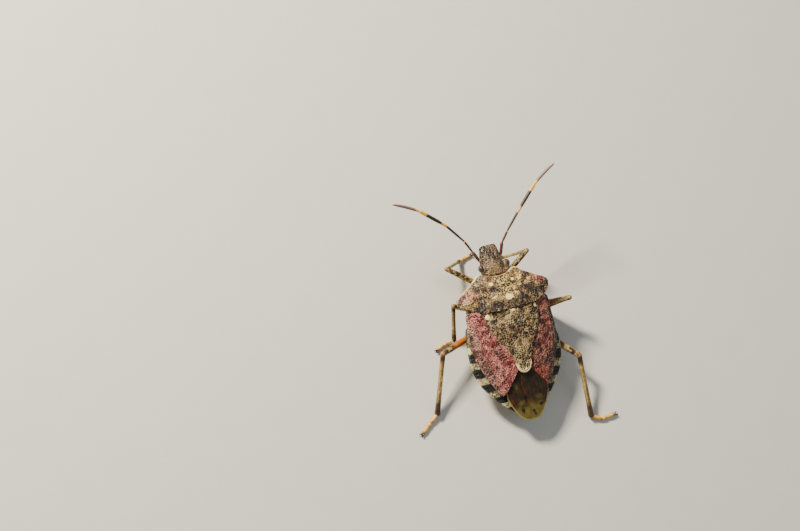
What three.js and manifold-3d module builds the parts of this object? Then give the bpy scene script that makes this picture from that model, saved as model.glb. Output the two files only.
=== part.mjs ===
// A shield bug, adult and life size, standing on six flat soles.
// Millimetres, +Z up, the head towards -Y, the animal's left side on +X.
// The body's own frame counts stations backwards from the tip of the head, and heights from the
// plane of the body's sharp side margin. The whole body is then pitched head up over the floor.

import * as THREE from 'three';
import { mergeVertices } from 'three/addons/utils/BufferGeometryUtils.js';
import Module from 'manifold-3d';

const wasm = await Module();
wasm.setup();

// Driving sizes
const BODY_LENGTH = 15;
const HEAD_HALF_WIDTH = 0.88;
const HEAD_BACK = 2.3;
const SHOULDER_HALF_WIDTH = 4.22;
const ABDOMEN_HALF_WIDTH = 4.2;
const ABDOMEN_END = 14.4;
const SCUTELLUM_HALF_WIDTH = 2.45;
const SCUTELLUM_BASE = 5.85;
const SCUTELLUM_TIP = 11;
const WING_THICKNESS = 0.5;
const EDGE_THICKNESS = 0.5;
const GAP = 0.3;
const EYE_GAP = 0.15;

// The body's place over the floor
const BODY_PITCH = THREE.MathUtils.degToRad(9.7);
const BODY_HEIGHT = 2.9;
const PIVOT_STATION = BODY_LENGTH / 2;

// Feet and limbs
const SOLE_AXIS_HEIGHT = 0.2;
const FEMUR_RADII = [0.25, 0.3, 0.35, 0.35, 0.3, 0.26];
const TIBIA_RADII = [0.26, 0.25, 0.25, 0.27];
const TARSUS_RADIUS = 0.26;
const CLAW_LENGTH = 0.36;
const CLAW_SPREAD = THREE.MathUtils.degToRad(32);
const LIMB_SIDES = 8;
const ANTENNA_RADIUS = 0.25;
const ANTENNA_TIP_RADIUS = 0.13;

// Far beyond the body, for cutting tools
const BEYOND = 30;
const CUT_DEPTH = 6;

// A smooth function of the station, through a few [station, value] knots.
function along(knots) {
  const stations = knots.map((knot) => knot[0]);
  const values = knots.map((knot) => knot[1]);
  const curve = new THREE.CubicInterpolant(stations, values, 1);
  return (station) => curve.evaluate(station)[0];
}

// Joins like vertices and drops faces without area, so that a mesh is closed.
function weld(geometry) {
  const bare = geometry.index ? geometry.toNonIndexed() : geometry.clone();
  bare.deleteAttribute('normal');
  bare.deleteAttribute('uv');
  const welded = mergeVertices(bare, 1e-5);
  const corners = welded.index.array;
  const kept = [];
  for (let face = 0; face < corners.length; face += 3) {
    const [a, b, c] = corners.slice(face, face + 3);
    if (a !== b && b !== c && c !== a) {
      kept.push(a, b, c);
    }
  }
  welded.setIndex(kept);
  return welded;
}

// Closed surface to solid and back.
function solid(geometry) {
  const mesh = weld(geometry);
  return new wasm.Manifold(new wasm.Mesh({
    numProp: 3,
    vertProperties: new Float32Array(mesh.attributes.position.array),
    triVerts: new Uint32Array(mesh.index.array),
  }));
}

function surface(body) {
  const largest = body.decompose().reduce((best, piece) => (piece.volume() > best.volume() ? piece : best));
  const mesh = largest.getMesh();
  const geometry = new THREE.BufferGeometry();
  geometry.setAttribute('position', new THREE.BufferAttribute(new Float32Array(mesh.vertProperties), 3));
  geometry.setIndex(Array.from(mesh.triVerts));
  geometry.computeVertexNormals();
  return geometry;
}

function joined(pieces) {
  return pieces.reduce((whole, piece) => whole.add(piece));
}

// Places on the body frame
function bodyPoint(x, station, height) {
  return new THREE.Vector3(x, station - PIVOT_STATION, height);
}

// Outlines are lists of [x, station] points on a smooth curve from front to back of one side.
function spline(points, divisions) {
  const curve = new THREE.SplineCurve(points.map(([x, station]) => new THREE.Vector2(x, station)));
  return curve.getSpacedPoints(divisions);
}

function closedBothSides(points, divisions) {
  const left = spline(points, divisions);
  const right = left.slice(1, -1).reverse().map((point) => new THREE.Vector2(-point.x, point.y));
  return left.concat(right);
}

function closedLoop(points, divisions) {
  return spline([...points, points[0]], divisions).slice(0, -1);
}

function grown(outline, distance) {
  const turn = THREE.ShapeUtils.isClockWise(outline) ? 1 : -1;
  return outline.map((point, i) => {
    const before = outline[(i + outline.length - 1) % outline.length];
    const after = outline[(i + 1) % outline.length];
    const tangent = after.clone().sub(before).normalize();
    return new THREE.Vector2(point.x - tangent.y * distance * turn, point.y + tangent.x * distance * turn);
  });
}

// A closed plate over an outline, between a top and a bottom height function, with a worn edge.
const RINGS = [0.42, 0.74, 0.93, 1];
const WORN_EDGE = 0.1;

function plate(outline, centre, top, bottom, worn = WORN_EDGE) {
  const anticlockwise = THREE.ShapeUtils.isClockWise(outline) ? outline.slice().reverse() : outline;
  const count = anticlockwise.length;
  const positions = [];
  const faces = [];
  const addSide = (height, wear) => {
    const start = positions.length / 3;
    positions.push(centre[0], centre[1] - PIVOT_STATION, height(centre[0], centre[1]));
    for (const ring of RINGS) {
      const rim = ring === 1 ? wear : 0;
      for (const point of anticlockwise) {
        const x = centre[0] + ring * (point.x - centre[0]);
        const station = centre[1] + ring * (point.y - centre[1]);
        positions.push(x, station - PIVOT_STATION, height(x, station) + rim);
      }
    }
    return start;
  };
  const upper = addSide(top, -worn);
  const lower = addSide(bottom, worn);
  for (let i = 0; i < count; i += 1) {
    const next = (i + 1) % count;
    faces.push(upper, upper + 1 + i, upper + 1 + next);
    faces.push(lower, lower + 1 + next, lower + 1 + i);
    for (let ring = 0; ring < RINGS.length - 1; ring += 1) {
      const inner = 1 + ring * count;
      const outer = inner + count;
      faces.push(upper + inner + i, upper + outer + i, upper + outer + next);
      faces.push(upper + inner + i, upper + outer + next, upper + inner + next);
      faces.push(lower + inner + i, lower + outer + next, lower + outer + i);
      faces.push(lower + inner + i, lower + inner + next, lower + outer + next);
    }
    const rim = 1 + (RINGS.length - 1) * count;
    faces.push(upper + rim + i, lower + rim + i, lower + rim + next);
    faces.push(upper + rim + i, lower + rim + next, upper + rim + next);
  }
  const geometry = new THREE.BufferGeometry();
  geometry.setAttribute('position', new THREE.Float32BufferAttribute(positions, 3));
  geometry.setIndex(faces);
  return solid(geometry);
}

// An upright block over an outline, to cut plates apart.
function prism(outline) {
  const shape = new THREE.Shape(outline.map((point) => new THREE.Vector2(point.x, point.y - PIVOT_STATION)));
  const geometry = new THREE.ExtrudeGeometry(shape, { depth: 2 * CUT_DEPTH, bevelEnabled: false });
  geometry.translate(0, 0, -CUT_DEPTH);
  return solid(geometry);
}

// A closed round limb through points, with one radius at each point and slightly domed ends.
function limb(points, radii, extra = 0, sides = LIMB_SIDES) {
  const path = points.map((point) => point.clone());
  const along0 = path[1].clone().sub(path[0]).normalize();
  const along1 = path[path.length - 1].clone().sub(path[path.length - 2]).normalize();
  path[0].addScaledVector(along0, -extra);
  path[path.length - 1].addScaledVector(along1, extra);
  const whole = path[path.length - 1].clone().sub(path[0]).normalize();
  const side = Math.abs(whole.z) > 0.9 ? new THREE.Vector3(1, 0, 0) : new THREE.Vector3(0, 0, 1);
  const positions = [];
  const faces = [];
  path.forEach((point, i) => {
    const before = path[Math.max(i - 1, 0)];
    const after = path[Math.min(i + 1, path.length - 1)];
    const tangent = after.clone().sub(before).normalize();
    const across = new THREE.Vector3().crossVectors(tangent, side).normalize();
    const over = new THREE.Vector3().crossVectors(tangent, across);
    for (let k = 0; k < sides; k += 1) {
      const angle = (2 * Math.PI * (k + 0.5)) / sides;
      const radius = radii[i] + extra;
      const spot = point.clone();
      spot.addScaledVector(across, radius * Math.cos(angle));
      spot.addScaledVector(over, radius * Math.sin(angle));
      positions.push(...spot);
    }
  });
  const dome = 0.4;
  const tail = path.length * sides;
  positions.push(...path[0].clone().addScaledVector(along0, -dome * radii[0]));
  positions.push(...path[path.length - 1].clone().addScaledVector(along1, dome * radii[radii.length - 1]));
  for (let k = 0; k < sides; k += 1) {
    const next = (k + 1) % sides;
    for (let i = 0; i < path.length - 1; i += 1) {
      const a = i * sides;
      const b = a + sides;
      faces.push(a + k, b + next, b + k, a + k, a + next, b + next);
    }
    faces.push(tail, next, k);
    faces.push(tail + 1, tail - sides + k, tail - sides + next);
  }
  const geometry = new THREE.BufferGeometry();
  geometry.setAttribute('position', new THREE.Float32BufferAttribute(positions, 3));
  geometry.setIndex(faces);
  return solid(geometry);
}

// A straight limb's points, evenly spaced for a list of radii.
function between(start, end, count) {
  return Array.from({ length: count }, (_, i) => start.clone().lerp(end, i / (count - 1)));
}

function spindle(start, end, radii, extra = 0) {
  return limb(between(start, end, radii.length), radii, extra);
}

// Heights in the body frame. The deck is the surface that the wings and scutellum lie over.
const DECK_SLOPE = 0.037;
const deckCrest = along([
  [4.5, 0.4], [5.5, 0.35], [8, 0.2], [10.9, -0.15], [12.5, -0.42], [14.3, -0.72], [15.2, -0.86],
]);
const deck = (x, station) => deckCrest(station) - DECK_SLOPE * x * x;
const wingUnderside = (x, station) => deck(x, station) + GAP;

// Head
const headHalfWidth = along([
  [0, 0.66], [0.15, 0.78], [0.6, HEAD_HALF_WIDTH], [1.25, 0.96], [1.8, 0.99], [HEAD_BACK, 1.05],
]);
const headCrest = along([[0, -0.52], [0.3, -0.34], [1.2, -0.02], [2, 0.22], [HEAD_BACK, 0.27]]);
const headFloor = along([[0, -0.74], [0.4, -0.95], [1.2, -1.2], [HEAD_BACK, -1.35]]);
const HEAD_ROUNDING = 0.32;
const headOutline = closedBothSides([
  [0, -0.02], [0.42, 0], [0.7, 0.09], [0.8, 0.28], [HEAD_HALF_WIDTH, 0.65], [0.94, 1.15], [0.97, 1.7],
  [1.03, 2.08], [0.93, 2.26], [0.6, HEAD_BACK], [0, HEAD_BACK],
], 18);
const headTop = (x, station) => (
  headCrest(station) - HEAD_ROUNDING * Math.min(Math.abs(x) / headHalfWidth(station), 1) ** 3
);
const headBottom = (x, station) => (
  headFloor(station) + HEAD_ROUNDING * Math.min(Math.abs(x) / headHalfWidth(station), 1) ** 3
);

// Eyes and ocelli
const EYE_PLACE = bodyPoint(1.2, 1.78, -0.2);
const EYE_RADII = new THREE.Vector3(0.34, 0.37, 0.33);
const EYE_SIDES = 12;
const OCELLUS_PLACE = bodyPoint(0.66, 2.05, 0.08);
const OCELLUS_RADIUS = 0.13;

// Pronotum, which is the whole front ring of the thorax
const shieldHalfWidth = along([
  [2.3, 1.6], [3.02, 2.85], [3.64, 4], [4, SHOULDER_HALF_WIDTH], [4.45, 4.14], [4.95, 3.6], [5.5, 2.5],
]);
const shieldMargin = along([[2.3, 0], [3.75, 0.2], [4.3, 0.42], [4.8, 0.66], [5.5, 1.13]]);
const shieldCrest = along([[2.4, 0.4], [3.5, 0.85], [4.5, 1.2], [5.55, 1.45]]);
const SHIELD_ROUNDNESS = 2.2;
const CHEST_DEPTH = 1.6;
const shieldOutline = closedBothSides([
  [0, 2.61], [0.7, 2.56], [1.15, 2.42], [1.6, 2.24], [2.2, 2.62], [2.85, 3], [3.5, 3.36], [4, 3.63],
  [SHOULDER_HALF_WIDTH, 3.97], [4.13, 4.45], [3.7, 4.86], [3, 5.21], [2.4, 5.44], [1.6, 5.52], [0, 5.55],
], 26);
const acrossShield = (x, station) => Math.min(Math.abs(x) / shieldHalfWidth(station), 1);
const shieldTop = (x, station) => (
  THREE.MathUtils.lerp(shieldMargin(station), shieldCrest(station),
    1 - acrossShield(x, station) ** SHIELD_ROUNDNESS)
);
const shieldBottom = (x, station) => (
  THREE.MathUtils.lerp(shieldMargin(station) - EDGE_THICKNESS, -CHEST_DEPTH,
    1 - acrossShield(x, station) ** 2)
);

// Scutellum
const SCUTELLUM_ARCH = 0.06;
const scutellumCrest = along([[SCUTELLUM_BASE, 1.38], [7.5, 1.24], [9.5, 0.98], [SCUTELLUM_TIP, 0.82]]);
const scutellumOutline = closedBothSides([
  [0, SCUTELLUM_BASE], [1.2, SCUTELLUM_BASE], [2.2, 5.83], [SCUTELLUM_HALF_WIDTH, 6.02], [2.36, 6.5],
  [2.1, 7.2], [1.72, 7.9], [1.3, 8.6], [0.98, 9.2], [0.8, 9.8], [0.68, 10.3], [0.5, 10.72], [0.26, 10.94],
  [0, SCUTELLUM_TIP],
], 22);
const scutellumTop = (x, station) => scutellumCrest(station) - SCUTELLUM_ARCH * x * x;

// Wings: the leathery corium of each side, and the membrane behind it
const CORIUM_CROWN = 0.04;
const CORIUM_EDGE = [
  [3.85, 5.15], [3.88, 6], [3.9, 7], [3.88, 8.1], [3.7, 9.1], [3.36, 10.35], [2.75, 11.6], [2.3, 12.28],
];
const MEMBRANE_EDGE = [
  [1.9, 12.7], [1.78, 13.15], [1.58, 13.6], [1.3, 14.1], [0.94, 14.58], [0.5, 14.9], [0, BODY_LENGTH],
];
const coriumOutline = closedLoop([
  [2.4, 5.3], [3.4, 4.95], ...CORIUM_EDGE, [2.06, 12.42], [1.8, 12.2], [1.3, 11.5], [0.8, 10.7], [0.5, 10],
  [0.7, 9], [1.2, 7.6],
], 36);
const coriumTop = (x, station) => wingUnderside(x, station) + WING_THICKNESS + CORIUM_CROWN;
const membraneOutline = closedBothSides([
  [0, 10.3], [0.6, 10.35], [1, 10.6], [1.5, 11.4], [1.94, 12.15], ...MEMBRANE_EDGE,
], 20);
const coverOutline = closedBothSides([[0, 4.9], [3.4, 4.95], ...CORIUM_EDGE, ...MEMBRANE_EDGE], 30);
const MEMBRANE_STEP = 0.06;
const membraneTop = (x, station) => coriumTop(x, station) - MEMBRANE_STEP;
const membraneBottom = (x, station) => wingUnderside(x, station) + MEMBRANE_STEP / 2;

// The right membrane lies on the left one; its inner edge shows on the animal's left of the midline.
const membraneEdge = along([[10, 0.1], [11, 0.12], [11.9, 0.38], [13.3, 0.34], [14.3, 0.2], [15.2, 0.1]]);
const MEMBRANE_FRONT = 9.8;
const MEMBRANE_BACK = 15.4;
const MEMBRANE_EDGE_STEPS = 8;

// Veins fan back over each membrane from the end of its corium
const VEINS_A_WING = 6;
const VEIN_RADIUS = 0.11;
const VEIN_SINK = 0.03;
const VEIN_INSET = 0.4;
const VEIN_STEPS = 5;
const VEIN_SIDES = 5;

// Thorax behind the pronotum, and abdomen with its flat side margin
const THORAX_DEPTH = 1.75;
const thoraxHalfWidth = along([[5, 3.72], [6, 3.75], [7, 3.3], [8.2, 2.4]]);
const thoraxOutline = closedBothSides([
  [0, 5.1], [2, 4.9], [3.4, 4.9], [3.72, 5.35], [3.72, 5.95], [3.45, 6.6], [2.95, 7.3], [2.35, 7.9],
  [1.4, 8.2], [0, 8.3],
], 18);
const thoraxBottom = (x, station) => (
  THREE.MathUtils.lerp(-0.85, -THORAX_DEPTH, 1 - Math.min(Math.abs(x) / thoraxHalfWidth(station), 1) ** 2)
);
const MARGIN_HEIGHT = 0.06;
const ABDOMEN_WEAR = 0.05;
const abdomenHalfWidth = along([
  [6, 3.8], [7, 3.9], [8, 4.07], [9, ABDOMEN_HALF_WIDTH], [10, 4.14], [11.1, 3.8], [12, 3.22], [12.75, 2.6],
  [13.4, 1.98], [13.95, 1.3], [ABDOMEN_END, 0.5],
]);
const belly = along([
  [6, -1.9], [8.2, -2.12], [9.5, -2.2], [11, -1.97], [12.5, -1.57], [13.5, -1.3], [ABDOMEN_END, -1.12],
]);
const marginFloor = along([[6, -0.9], [8, -0.72], [9.5, -0.5], [14, -0.42]]);
const abdomenOutline = closedBothSides([
  [0, 6.4], [3, 6.4], [3.65, 6.45], [3.9, 7], [4.07, 8], [ABDOMEN_HALF_WIDTH, 9], [4.14, 10], [3.8, 11.1],
  [3.22, 12], [2.6, 12.75], [1.98, 13.4], [1.3, 13.95], [0.6, 14.3], [0, ABDOMEN_END],
], 28);
const abdomenBottom = (x, station) => {
  const t = Math.min(Math.abs(x) / abdomenHalfWidth(station), 1);
  return THREE.MathUtils.lerp(marginFloor(station), belly(station), (1 - t * t) ** 0.9);
};

// The beak lies back along the underside
const BEAK_PATH = [[0.75, -1.62], [1.6, -1.78], [2.6, -1.86], [4.5, -1.9], [6.4, -1.92], [7.3, -1.9]];
const BEAK_RADII = [0.25, 0.26, 0.26, 0.25, 0.25, 0.16];

// Joints of each leg: the hip, knee, ankle, the bend of the foot and its end, in the floor's frame.
// Heights of the feet follow from their soles.
const LEGS = {
  leg_fore_left: {
    root: [1.1, 3.45, -0.9], hip: [0.95, -4.75, 1.6], knee: [3.6, -6.59, 2.3], ankle: [1.39, -7.29],
    bend: [0.82, -7.45], toe: [0.24, -7.58],
  },
  leg_fore_right: {
    root: [-1.1, 3.45, -0.9], hip: [-1.05, -4.65, 1.6], knee: [-3.71, -6.37, 2.75], ankle: [-2.13, -6.68],
    bend: [-1.5, -6.86], toe: [-0.9, -6.66],
  },
  leg_mid_left: {
    root: [1.5, 5.2, -0.85], hip: [1.8, -2.75, 1.35], knee: [4.19, -3.39, 2.55], ankle: [4.07, -1],
    bend: [5.22, -0.77], toe: [5.67, -0.54],
  },
  leg_mid_right: {
    root: [-1.5, 5.2, -0.85], hip: [-1.8, -1.95, 1.35], knee: [-6.03, -1.58, 2.9], ankle: [-4.35, -1.64],
    bend: [-4.5, -0.95], toe: [-4.6, -0.2],
  },
  leg_hind_left: {
    root: [1.6, 6.6, -0.95], hip: [2.05, -1.07, 1.05], knee: [6.28, 0.2, 2.25], ankle: [7.58, 4.62],
    bend: [8.42, 5.26], toe: [9.31, 5.87],
  },
  leg_hind_right: {
    root: [-1.6, 6.6, -0.95], hip: [-2.05, -1, 1.05], knee: [-5.6, 3.24, 2.05], ankle: [-5.71, 8.16],
    bend: [-6.56, 8.66], toe: [-7.86, 8.55],
  },
};
const ANKLE_HEIGHT = 0.34;

// Joints of each antenna after its root on the head, in the floor's frame
const ANTENNAE = {
  antenna_left: {
    side: 1,
    joints: [
      [1.42, -7.14, 3.6], [2.09, -8.18, 4.1], [3.45, -9.75, 4.6], [5.55, -11.35, 5.2], [7.86, -12.38, 5.6],
    ],
  },
  antenna_right: {
    side: -1,
    joints: [
      [-1.27, -7.32, 3.75], [-1.88, -8.12, 4.2], [-3.08, -9.38, 4.8], [-4.91, -11.14, 5.6],
      [-6.89, -12.32, 6.4],
    ],
  },
};
const ANTENNA_ROOT = [1.12, 1.02, -0.72];

// Builders
const body = new THREE.Group();
body.rotation.x = -BODY_PITCH;
body.position.z = BODY_HEIGHT;
body.updateMatrix();
const floorToBody = body.matrix.clone().invert();

function onFloorFrame(x, station, height) {
  return bodyPoint(x, station, height).applyMatrix4(body.matrix);
}

function inBodyFrame(limbPoints) {
  return limbPoints.map((point) => point.clone().applyMatrix4(floorToBody));
}

function ball(place, radii, sides = LIMB_SIDES) {
  const geometry = new THREE.SphereGeometry(1, sides, sides * 0.75);
  geometry.scale(radii.x, radii.y, radii.z);
  geometry.translate(place.x, place.y, place.z);
  return solid(geometry);
}

function mirroredPlace(place, side) {
  return new THREE.Vector3(place.x * side, place.y, place.z);
}

function legPoints(leg) {
  const [footX, footY] = leg.ankle;
  return {
    root: onFloorFrame(...leg.root),
    hip: new THREE.Vector3(...leg.hip),
    knee: new THREE.Vector3(...leg.knee),
    ankle: new THREE.Vector3(footX, footY, ANKLE_HEIGHT),
    bend: new THREE.Vector3(...leg.bend, SOLE_AXIS_HEIGHT),
    toe: new THREE.Vector3(...leg.toe, SOLE_AXIS_HEIGHT),
  };
}

function claws(bend, toe) {
  const forward = toe.clone().sub(bend).normalize();
  return [-1, 1].map((side) => {
    const direction = forward.clone().applyAxisAngle(new THREE.Vector3(0, 0, 1), side * CLAW_SPREAD);
    const middle = toe.clone().addScaledVector(direction, CLAW_LENGTH * 0.6);
    const tip = toe.clone().addScaledVector(direction, CLAW_LENGTH);
    middle.z += 0.03;
    tip.z -= 0.1;
    return limb([toe.clone().addScaledVector(forward, -0.05), middle, tip], [0.12, 0.1, 0.05], 0, 6);
  });
}

function legSolid(leg) {
  const at = legPoints(leg);
  const floor = new THREE.BoxGeometry(2 * BEYOND, 2 * BEYOND, CUT_DEPTH);
  floor.translate(0, 0, -CUT_DEPTH / 2);
  const ankleBall = ball(at.ankle, new THREE.Vector3(0.28, 0.28, 0.28));
  return joined([
    spindle(at.root, at.hip, [0.45, 0.42, 0.33]),
    ball(at.hip, new THREE.Vector3(0.34, 0.34, 0.34)),
    spindle(at.hip, at.knee, FEMUR_RADII),
    ball(at.knee, new THREE.Vector3(0.29, 0.29, 0.29)),
    spindle(at.knee, at.ankle, TIBIA_RADII),
    ankleBall,
    limb([at.ankle, at.bend, at.toe], [TARSUS_RADIUS, TARSUS_RADIUS, TARSUS_RADIUS]),
    ...claws(at.bend, at.toe),
  ]).subtract(solid(floor));
}

// The room that a leg needs in the body's pieces
function legRoom(leg) {
  const at = legPoints(leg);
  const [root, hip, knee] = inBodyFrame([at.root, at.hip, at.knee]);
  return joined([
    spindle(root, hip, [0.45, 0.42, 0.33], GAP),
    spindle(hip, knee, FEMUR_RADII, GAP),
  ]);
}

function antennaPoints(antenna) {
  const [x, station, height] = ANTENNA_ROOT;
  const root = onFloorFrame(x * antenna.side, station, height);
  return [root, ...antenna.joints.map((joint) => new THREE.Vector3(...joint))];
}

function antennaSolid(antenna) {
  const points = antennaPoints(antenna);
  const last = points.length - 1;
  const segments = points.slice(0, -1).map((start, i) => {
    const end = points[i + 1];
    const endRadius = i === last - 1 ? ANTENNA_TIP_RADIUS : ANTENNA_RADIUS;
    return spindle(start, end, [ANTENNA_RADIUS, ANTENNA_RADIUS, ANTENNA_RADIUS, endRadius]);
  });
  return joined(segments);
}

function antennaRoom(antenna) {
  const [root, first] = inBodyFrame(antennaPoints(antenna));
  return spindle(root, first, [ANTENNA_RADIUS, ANTENNA_RADIUS], GAP);
}

function eyeSolid(side) {
  return ball(mirroredPlace(EYE_PLACE, side), EYE_RADII, EYE_SIDES);
}

function eyeRoom(side) {
  return ball(mirroredPlace(EYE_PLACE, side), EYE_RADII.clone().addScalar(EYE_GAP), EYE_SIDES);
}

function headSolid() {
  const ocelli = [-1, 1].map((side) => (
    ball(mirroredPlace(OCELLUS_PLACE, side), new THREE.Vector3(1, 1, 1).multiplyScalar(OCELLUS_RADIUS))
  ));
  const whole = joined([plate(headOutline, [0, 1.15], headTop, headBottom), ...ocelli]);
  return [
    eyeRoom(1), eyeRoom(-1), beakSolid(GAP),
    antennaRoom(ANTENNAE.antenna_left), antennaRoom(ANTENNAE.antenna_right),
  ].reduce((head, room) => head.subtract(room), whole);
}

function beakSolid(extra = 0) {
  const points = BEAK_PATH.map(([station, height]) => bodyPoint(0, station, height));
  return limb(points, BEAK_RADII, extra);
}

function clearOfLegs(piece) {
  return Object.values(LEGS).reduce((rest, leg) => rest.subtract(legRoom(leg)), piece);
}

function pronotumSolid() {
  return clearOfLegs(plate(shieldOutline, [0, 4.2], shieldTop, shieldBottom)).subtract(beakSolid(GAP));
}

function scutellumSolid() {
  return plate(scutellumOutline, [0, 7.4], scutellumTop, wingUnderside);
}

function vein(side, share) {
  const inner = (station) => membraneEdge(station) * side + VEIN_INSET;
  const start = [THREE.MathUtils.lerp(inner(11.3), 1.72, share), THREE.MathUtils.lerp(11.3, 12.1, share)];
  const end = [THREE.MathUtils.lerp(inner(14.5), 1.6, share), THREE.MathUtils.lerp(14.6, 13.2, share)];
  const points = Array.from({ length: VEIN_STEPS }, (_, i) => {
    const along01 = i / (VEIN_STEPS - 1);
    const bow = 0.12 * Math.sin(Math.PI * along01) * share;
    const x = side * (THREE.MathUtils.lerp(start[0], end[0], along01) + bow);
    const station = THREE.MathUtils.lerp(start[1], end[1], along01);
    return bodyPoint(x, station, membraneTop(x, station) - VEIN_SINK);
  });
  return limb(points, points.map(() => VEIN_RADIUS), 0, VEIN_SIDES);
}

function wingSolid(side) {
  const flip = (outline) => outline.map((point) => new THREE.Vector2(point.x * side, point.y));
  const corium = plate(flip(coriumOutline), [2.4 * side, 8.6], coriumTop, wingUnderside);
  const edge = Array.from({ length: MEMBRANE_EDGE_STEPS + 1 }, (_, i) => {
    const station = THREE.MathUtils.lerp(MEMBRANE_FRONT, MEMBRANE_BACK, i / MEMBRANE_EDGE_STEPS);
    return new THREE.Vector2(membraneEdge(station) + (GAP / 2) * side, station);
  });
  const far = [MEMBRANE_BACK, MEMBRANE_FRONT].map((station) => new THREE.Vector2(side * CUT_DEPTH, station));
  const half = prism([...edge, ...far]);
  const veins = Array.from({ length: VEINS_A_WING }, (_, i) => vein(side, i / (VEINS_A_WING - 1)));
  const membrane = joined([
    plate(membraneOutline, [0, 12.9], membraneTop, membraneBottom), ...veins,
  ]).intersect(half);
  return joined([corium, membrane])
    .subtract(prism(grown(scutellumOutline, GAP)))
    .subtract(prism(grown(shieldOutline, GAP)));
}

function thoraxSolid() {
  return clearOfLegs(plate(thoraxOutline, [0, 6.6], deck, thoraxBottom))
    .subtract(prism(grown(shieldOutline, GAP)))
    .subtract(beakSolid(GAP));
}

function wingTray() {
  return plate(grown(coverOutline, GAP), [0, 9.6], () => CUT_DEPTH, deck, 0);
}

function abdomenSolid() {
  return clearOfLegs(plate(abdomenOutline, [0, 9.8], () => MARGIN_HEIGHT, abdomenBottom, ABDOMEN_WEAR))
    .subtract(wingTray())
    .subtract(prism(grown(thoraxOutline, GAP)))
    .subtract(beakSolid(GAP));
}

// Finishes, by what the surface is
function finish(color, roughness, metalness = 0) {
  return new THREE.MeshStandardMaterial({ color, roughness, metalness });
}

const FINISHES = {
  shield: finish(0x7d6a50, 0.55),
  scutellum: finish(0x86725a, 0.55),
  wing: finish(0x8a4a4c, 0.5),
  head: finish(0x5a5048, 0.6),
  eye: finish(0x2e2320, 0.2),
  underside: finish(0xa38f5e, 0.5),
  abdomen: finish(0x4a4640, 0.4),
  antenna: finish(0x2a1a12, 0.4),
  leg: finish(0x76522c, 0.45),
};

function named(name, piece, material) {
  const mesh = new THREE.Mesh(surface(piece), material);
  mesh.name = name;
  return mesh;
}

function buildBody() {
  body.add(
    named('head', headSolid(), FINISHES.head),
    named('eye_left', eyeSolid(1), FINISHES.eye),
    named('eye_right', eyeSolid(-1), FINISHES.eye),
    named('beak', beakSolid(), FINISHES.underside),
    named('pronotum', pronotumSolid(), FINISHES.shield),
    named('scutellum', scutellumSolid(), FINISHES.scutellum),
    named('wing_left', wingSolid(1), FINISHES.wing),
    named('wing_right', wingSolid(-1), FINISHES.wing),
    named('thorax', thoraxSolid(), FINISHES.underside),
    named('abdomen', abdomenSolid(), FINISHES.abdomen),
  );
  return body;
}

function buildLimbs() {
  const limbs = new THREE.Group();
  for (const [name, leg] of Object.entries(LEGS)) {
    limbs.add(named(name, legSolid(leg), FINISHES.leg));
  }
  for (const [name, antenna] of Object.entries(ANTENNAE)) {
    limbs.add(named(name, antennaSolid(antenna), FINISHES.antenna));
  }
  return limbs;
}

// The part's origin is the middle of its box, on the floor.
const group = new THREE.Group();
group.add(buildBody(), buildLimbs());
group.updateMatrixWorld(true);
const box = new THREE.Box3().setFromObject(group, true);
const middle = box.getCenter(new THREE.Vector3());
group.position.set(-middle.x, -middle.y, -box.min.z);

export default group;
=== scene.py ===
import logging
import math
from dataclasses import dataclass
from enum import Enum
from typing import Callable

import bpy
import numpy as np
from mathutils import Matrix, Vector


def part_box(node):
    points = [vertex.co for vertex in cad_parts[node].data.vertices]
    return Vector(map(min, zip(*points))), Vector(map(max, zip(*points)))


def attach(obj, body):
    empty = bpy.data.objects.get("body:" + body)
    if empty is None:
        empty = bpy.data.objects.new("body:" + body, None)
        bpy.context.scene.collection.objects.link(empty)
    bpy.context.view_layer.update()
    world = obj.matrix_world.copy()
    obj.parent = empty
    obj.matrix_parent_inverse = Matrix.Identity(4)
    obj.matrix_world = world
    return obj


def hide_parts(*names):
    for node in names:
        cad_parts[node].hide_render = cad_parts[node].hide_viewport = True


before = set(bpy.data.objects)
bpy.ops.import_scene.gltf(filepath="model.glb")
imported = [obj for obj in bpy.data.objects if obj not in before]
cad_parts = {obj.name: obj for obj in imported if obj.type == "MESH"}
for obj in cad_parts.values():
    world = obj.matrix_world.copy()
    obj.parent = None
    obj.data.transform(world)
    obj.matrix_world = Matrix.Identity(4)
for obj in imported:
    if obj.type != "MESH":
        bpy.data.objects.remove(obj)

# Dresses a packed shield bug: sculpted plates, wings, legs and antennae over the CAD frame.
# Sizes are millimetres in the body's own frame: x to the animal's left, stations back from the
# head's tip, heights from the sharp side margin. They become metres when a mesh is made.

LOG = logging.getLogger("shield_bug")
MM = 0.001
TINY = 1e-12
FAR = 99.0
HASH_PRIMES = (73856093, 19349663, 83492791)
HASH_ROUNDS = ((13, 1274126177), (15, 2246822519))
Array = np.ndarray
Profile = Callable[[Array], Array]
Knots = tuple[tuple[float, float], ...]
Spot = tuple[float, float, float, float]


class Side(Enum):
    """A side of the animal, with the sign of its x."""

    LEFT = 1
    RIGHT = -1

    @property
    def word(self) -> str:
        """The side's name in node names."""
        return self.name.lower()


class Mask(Enum):
    """Point masks, from 0 to 1, that the finishes read."""

    PIT = "pit"
    PALE = "pale"
    GLOOM = "gloom"
    ROSE = "rose"
    AMBER = "amber"


Masks = dict[Mask, Array]


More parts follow.
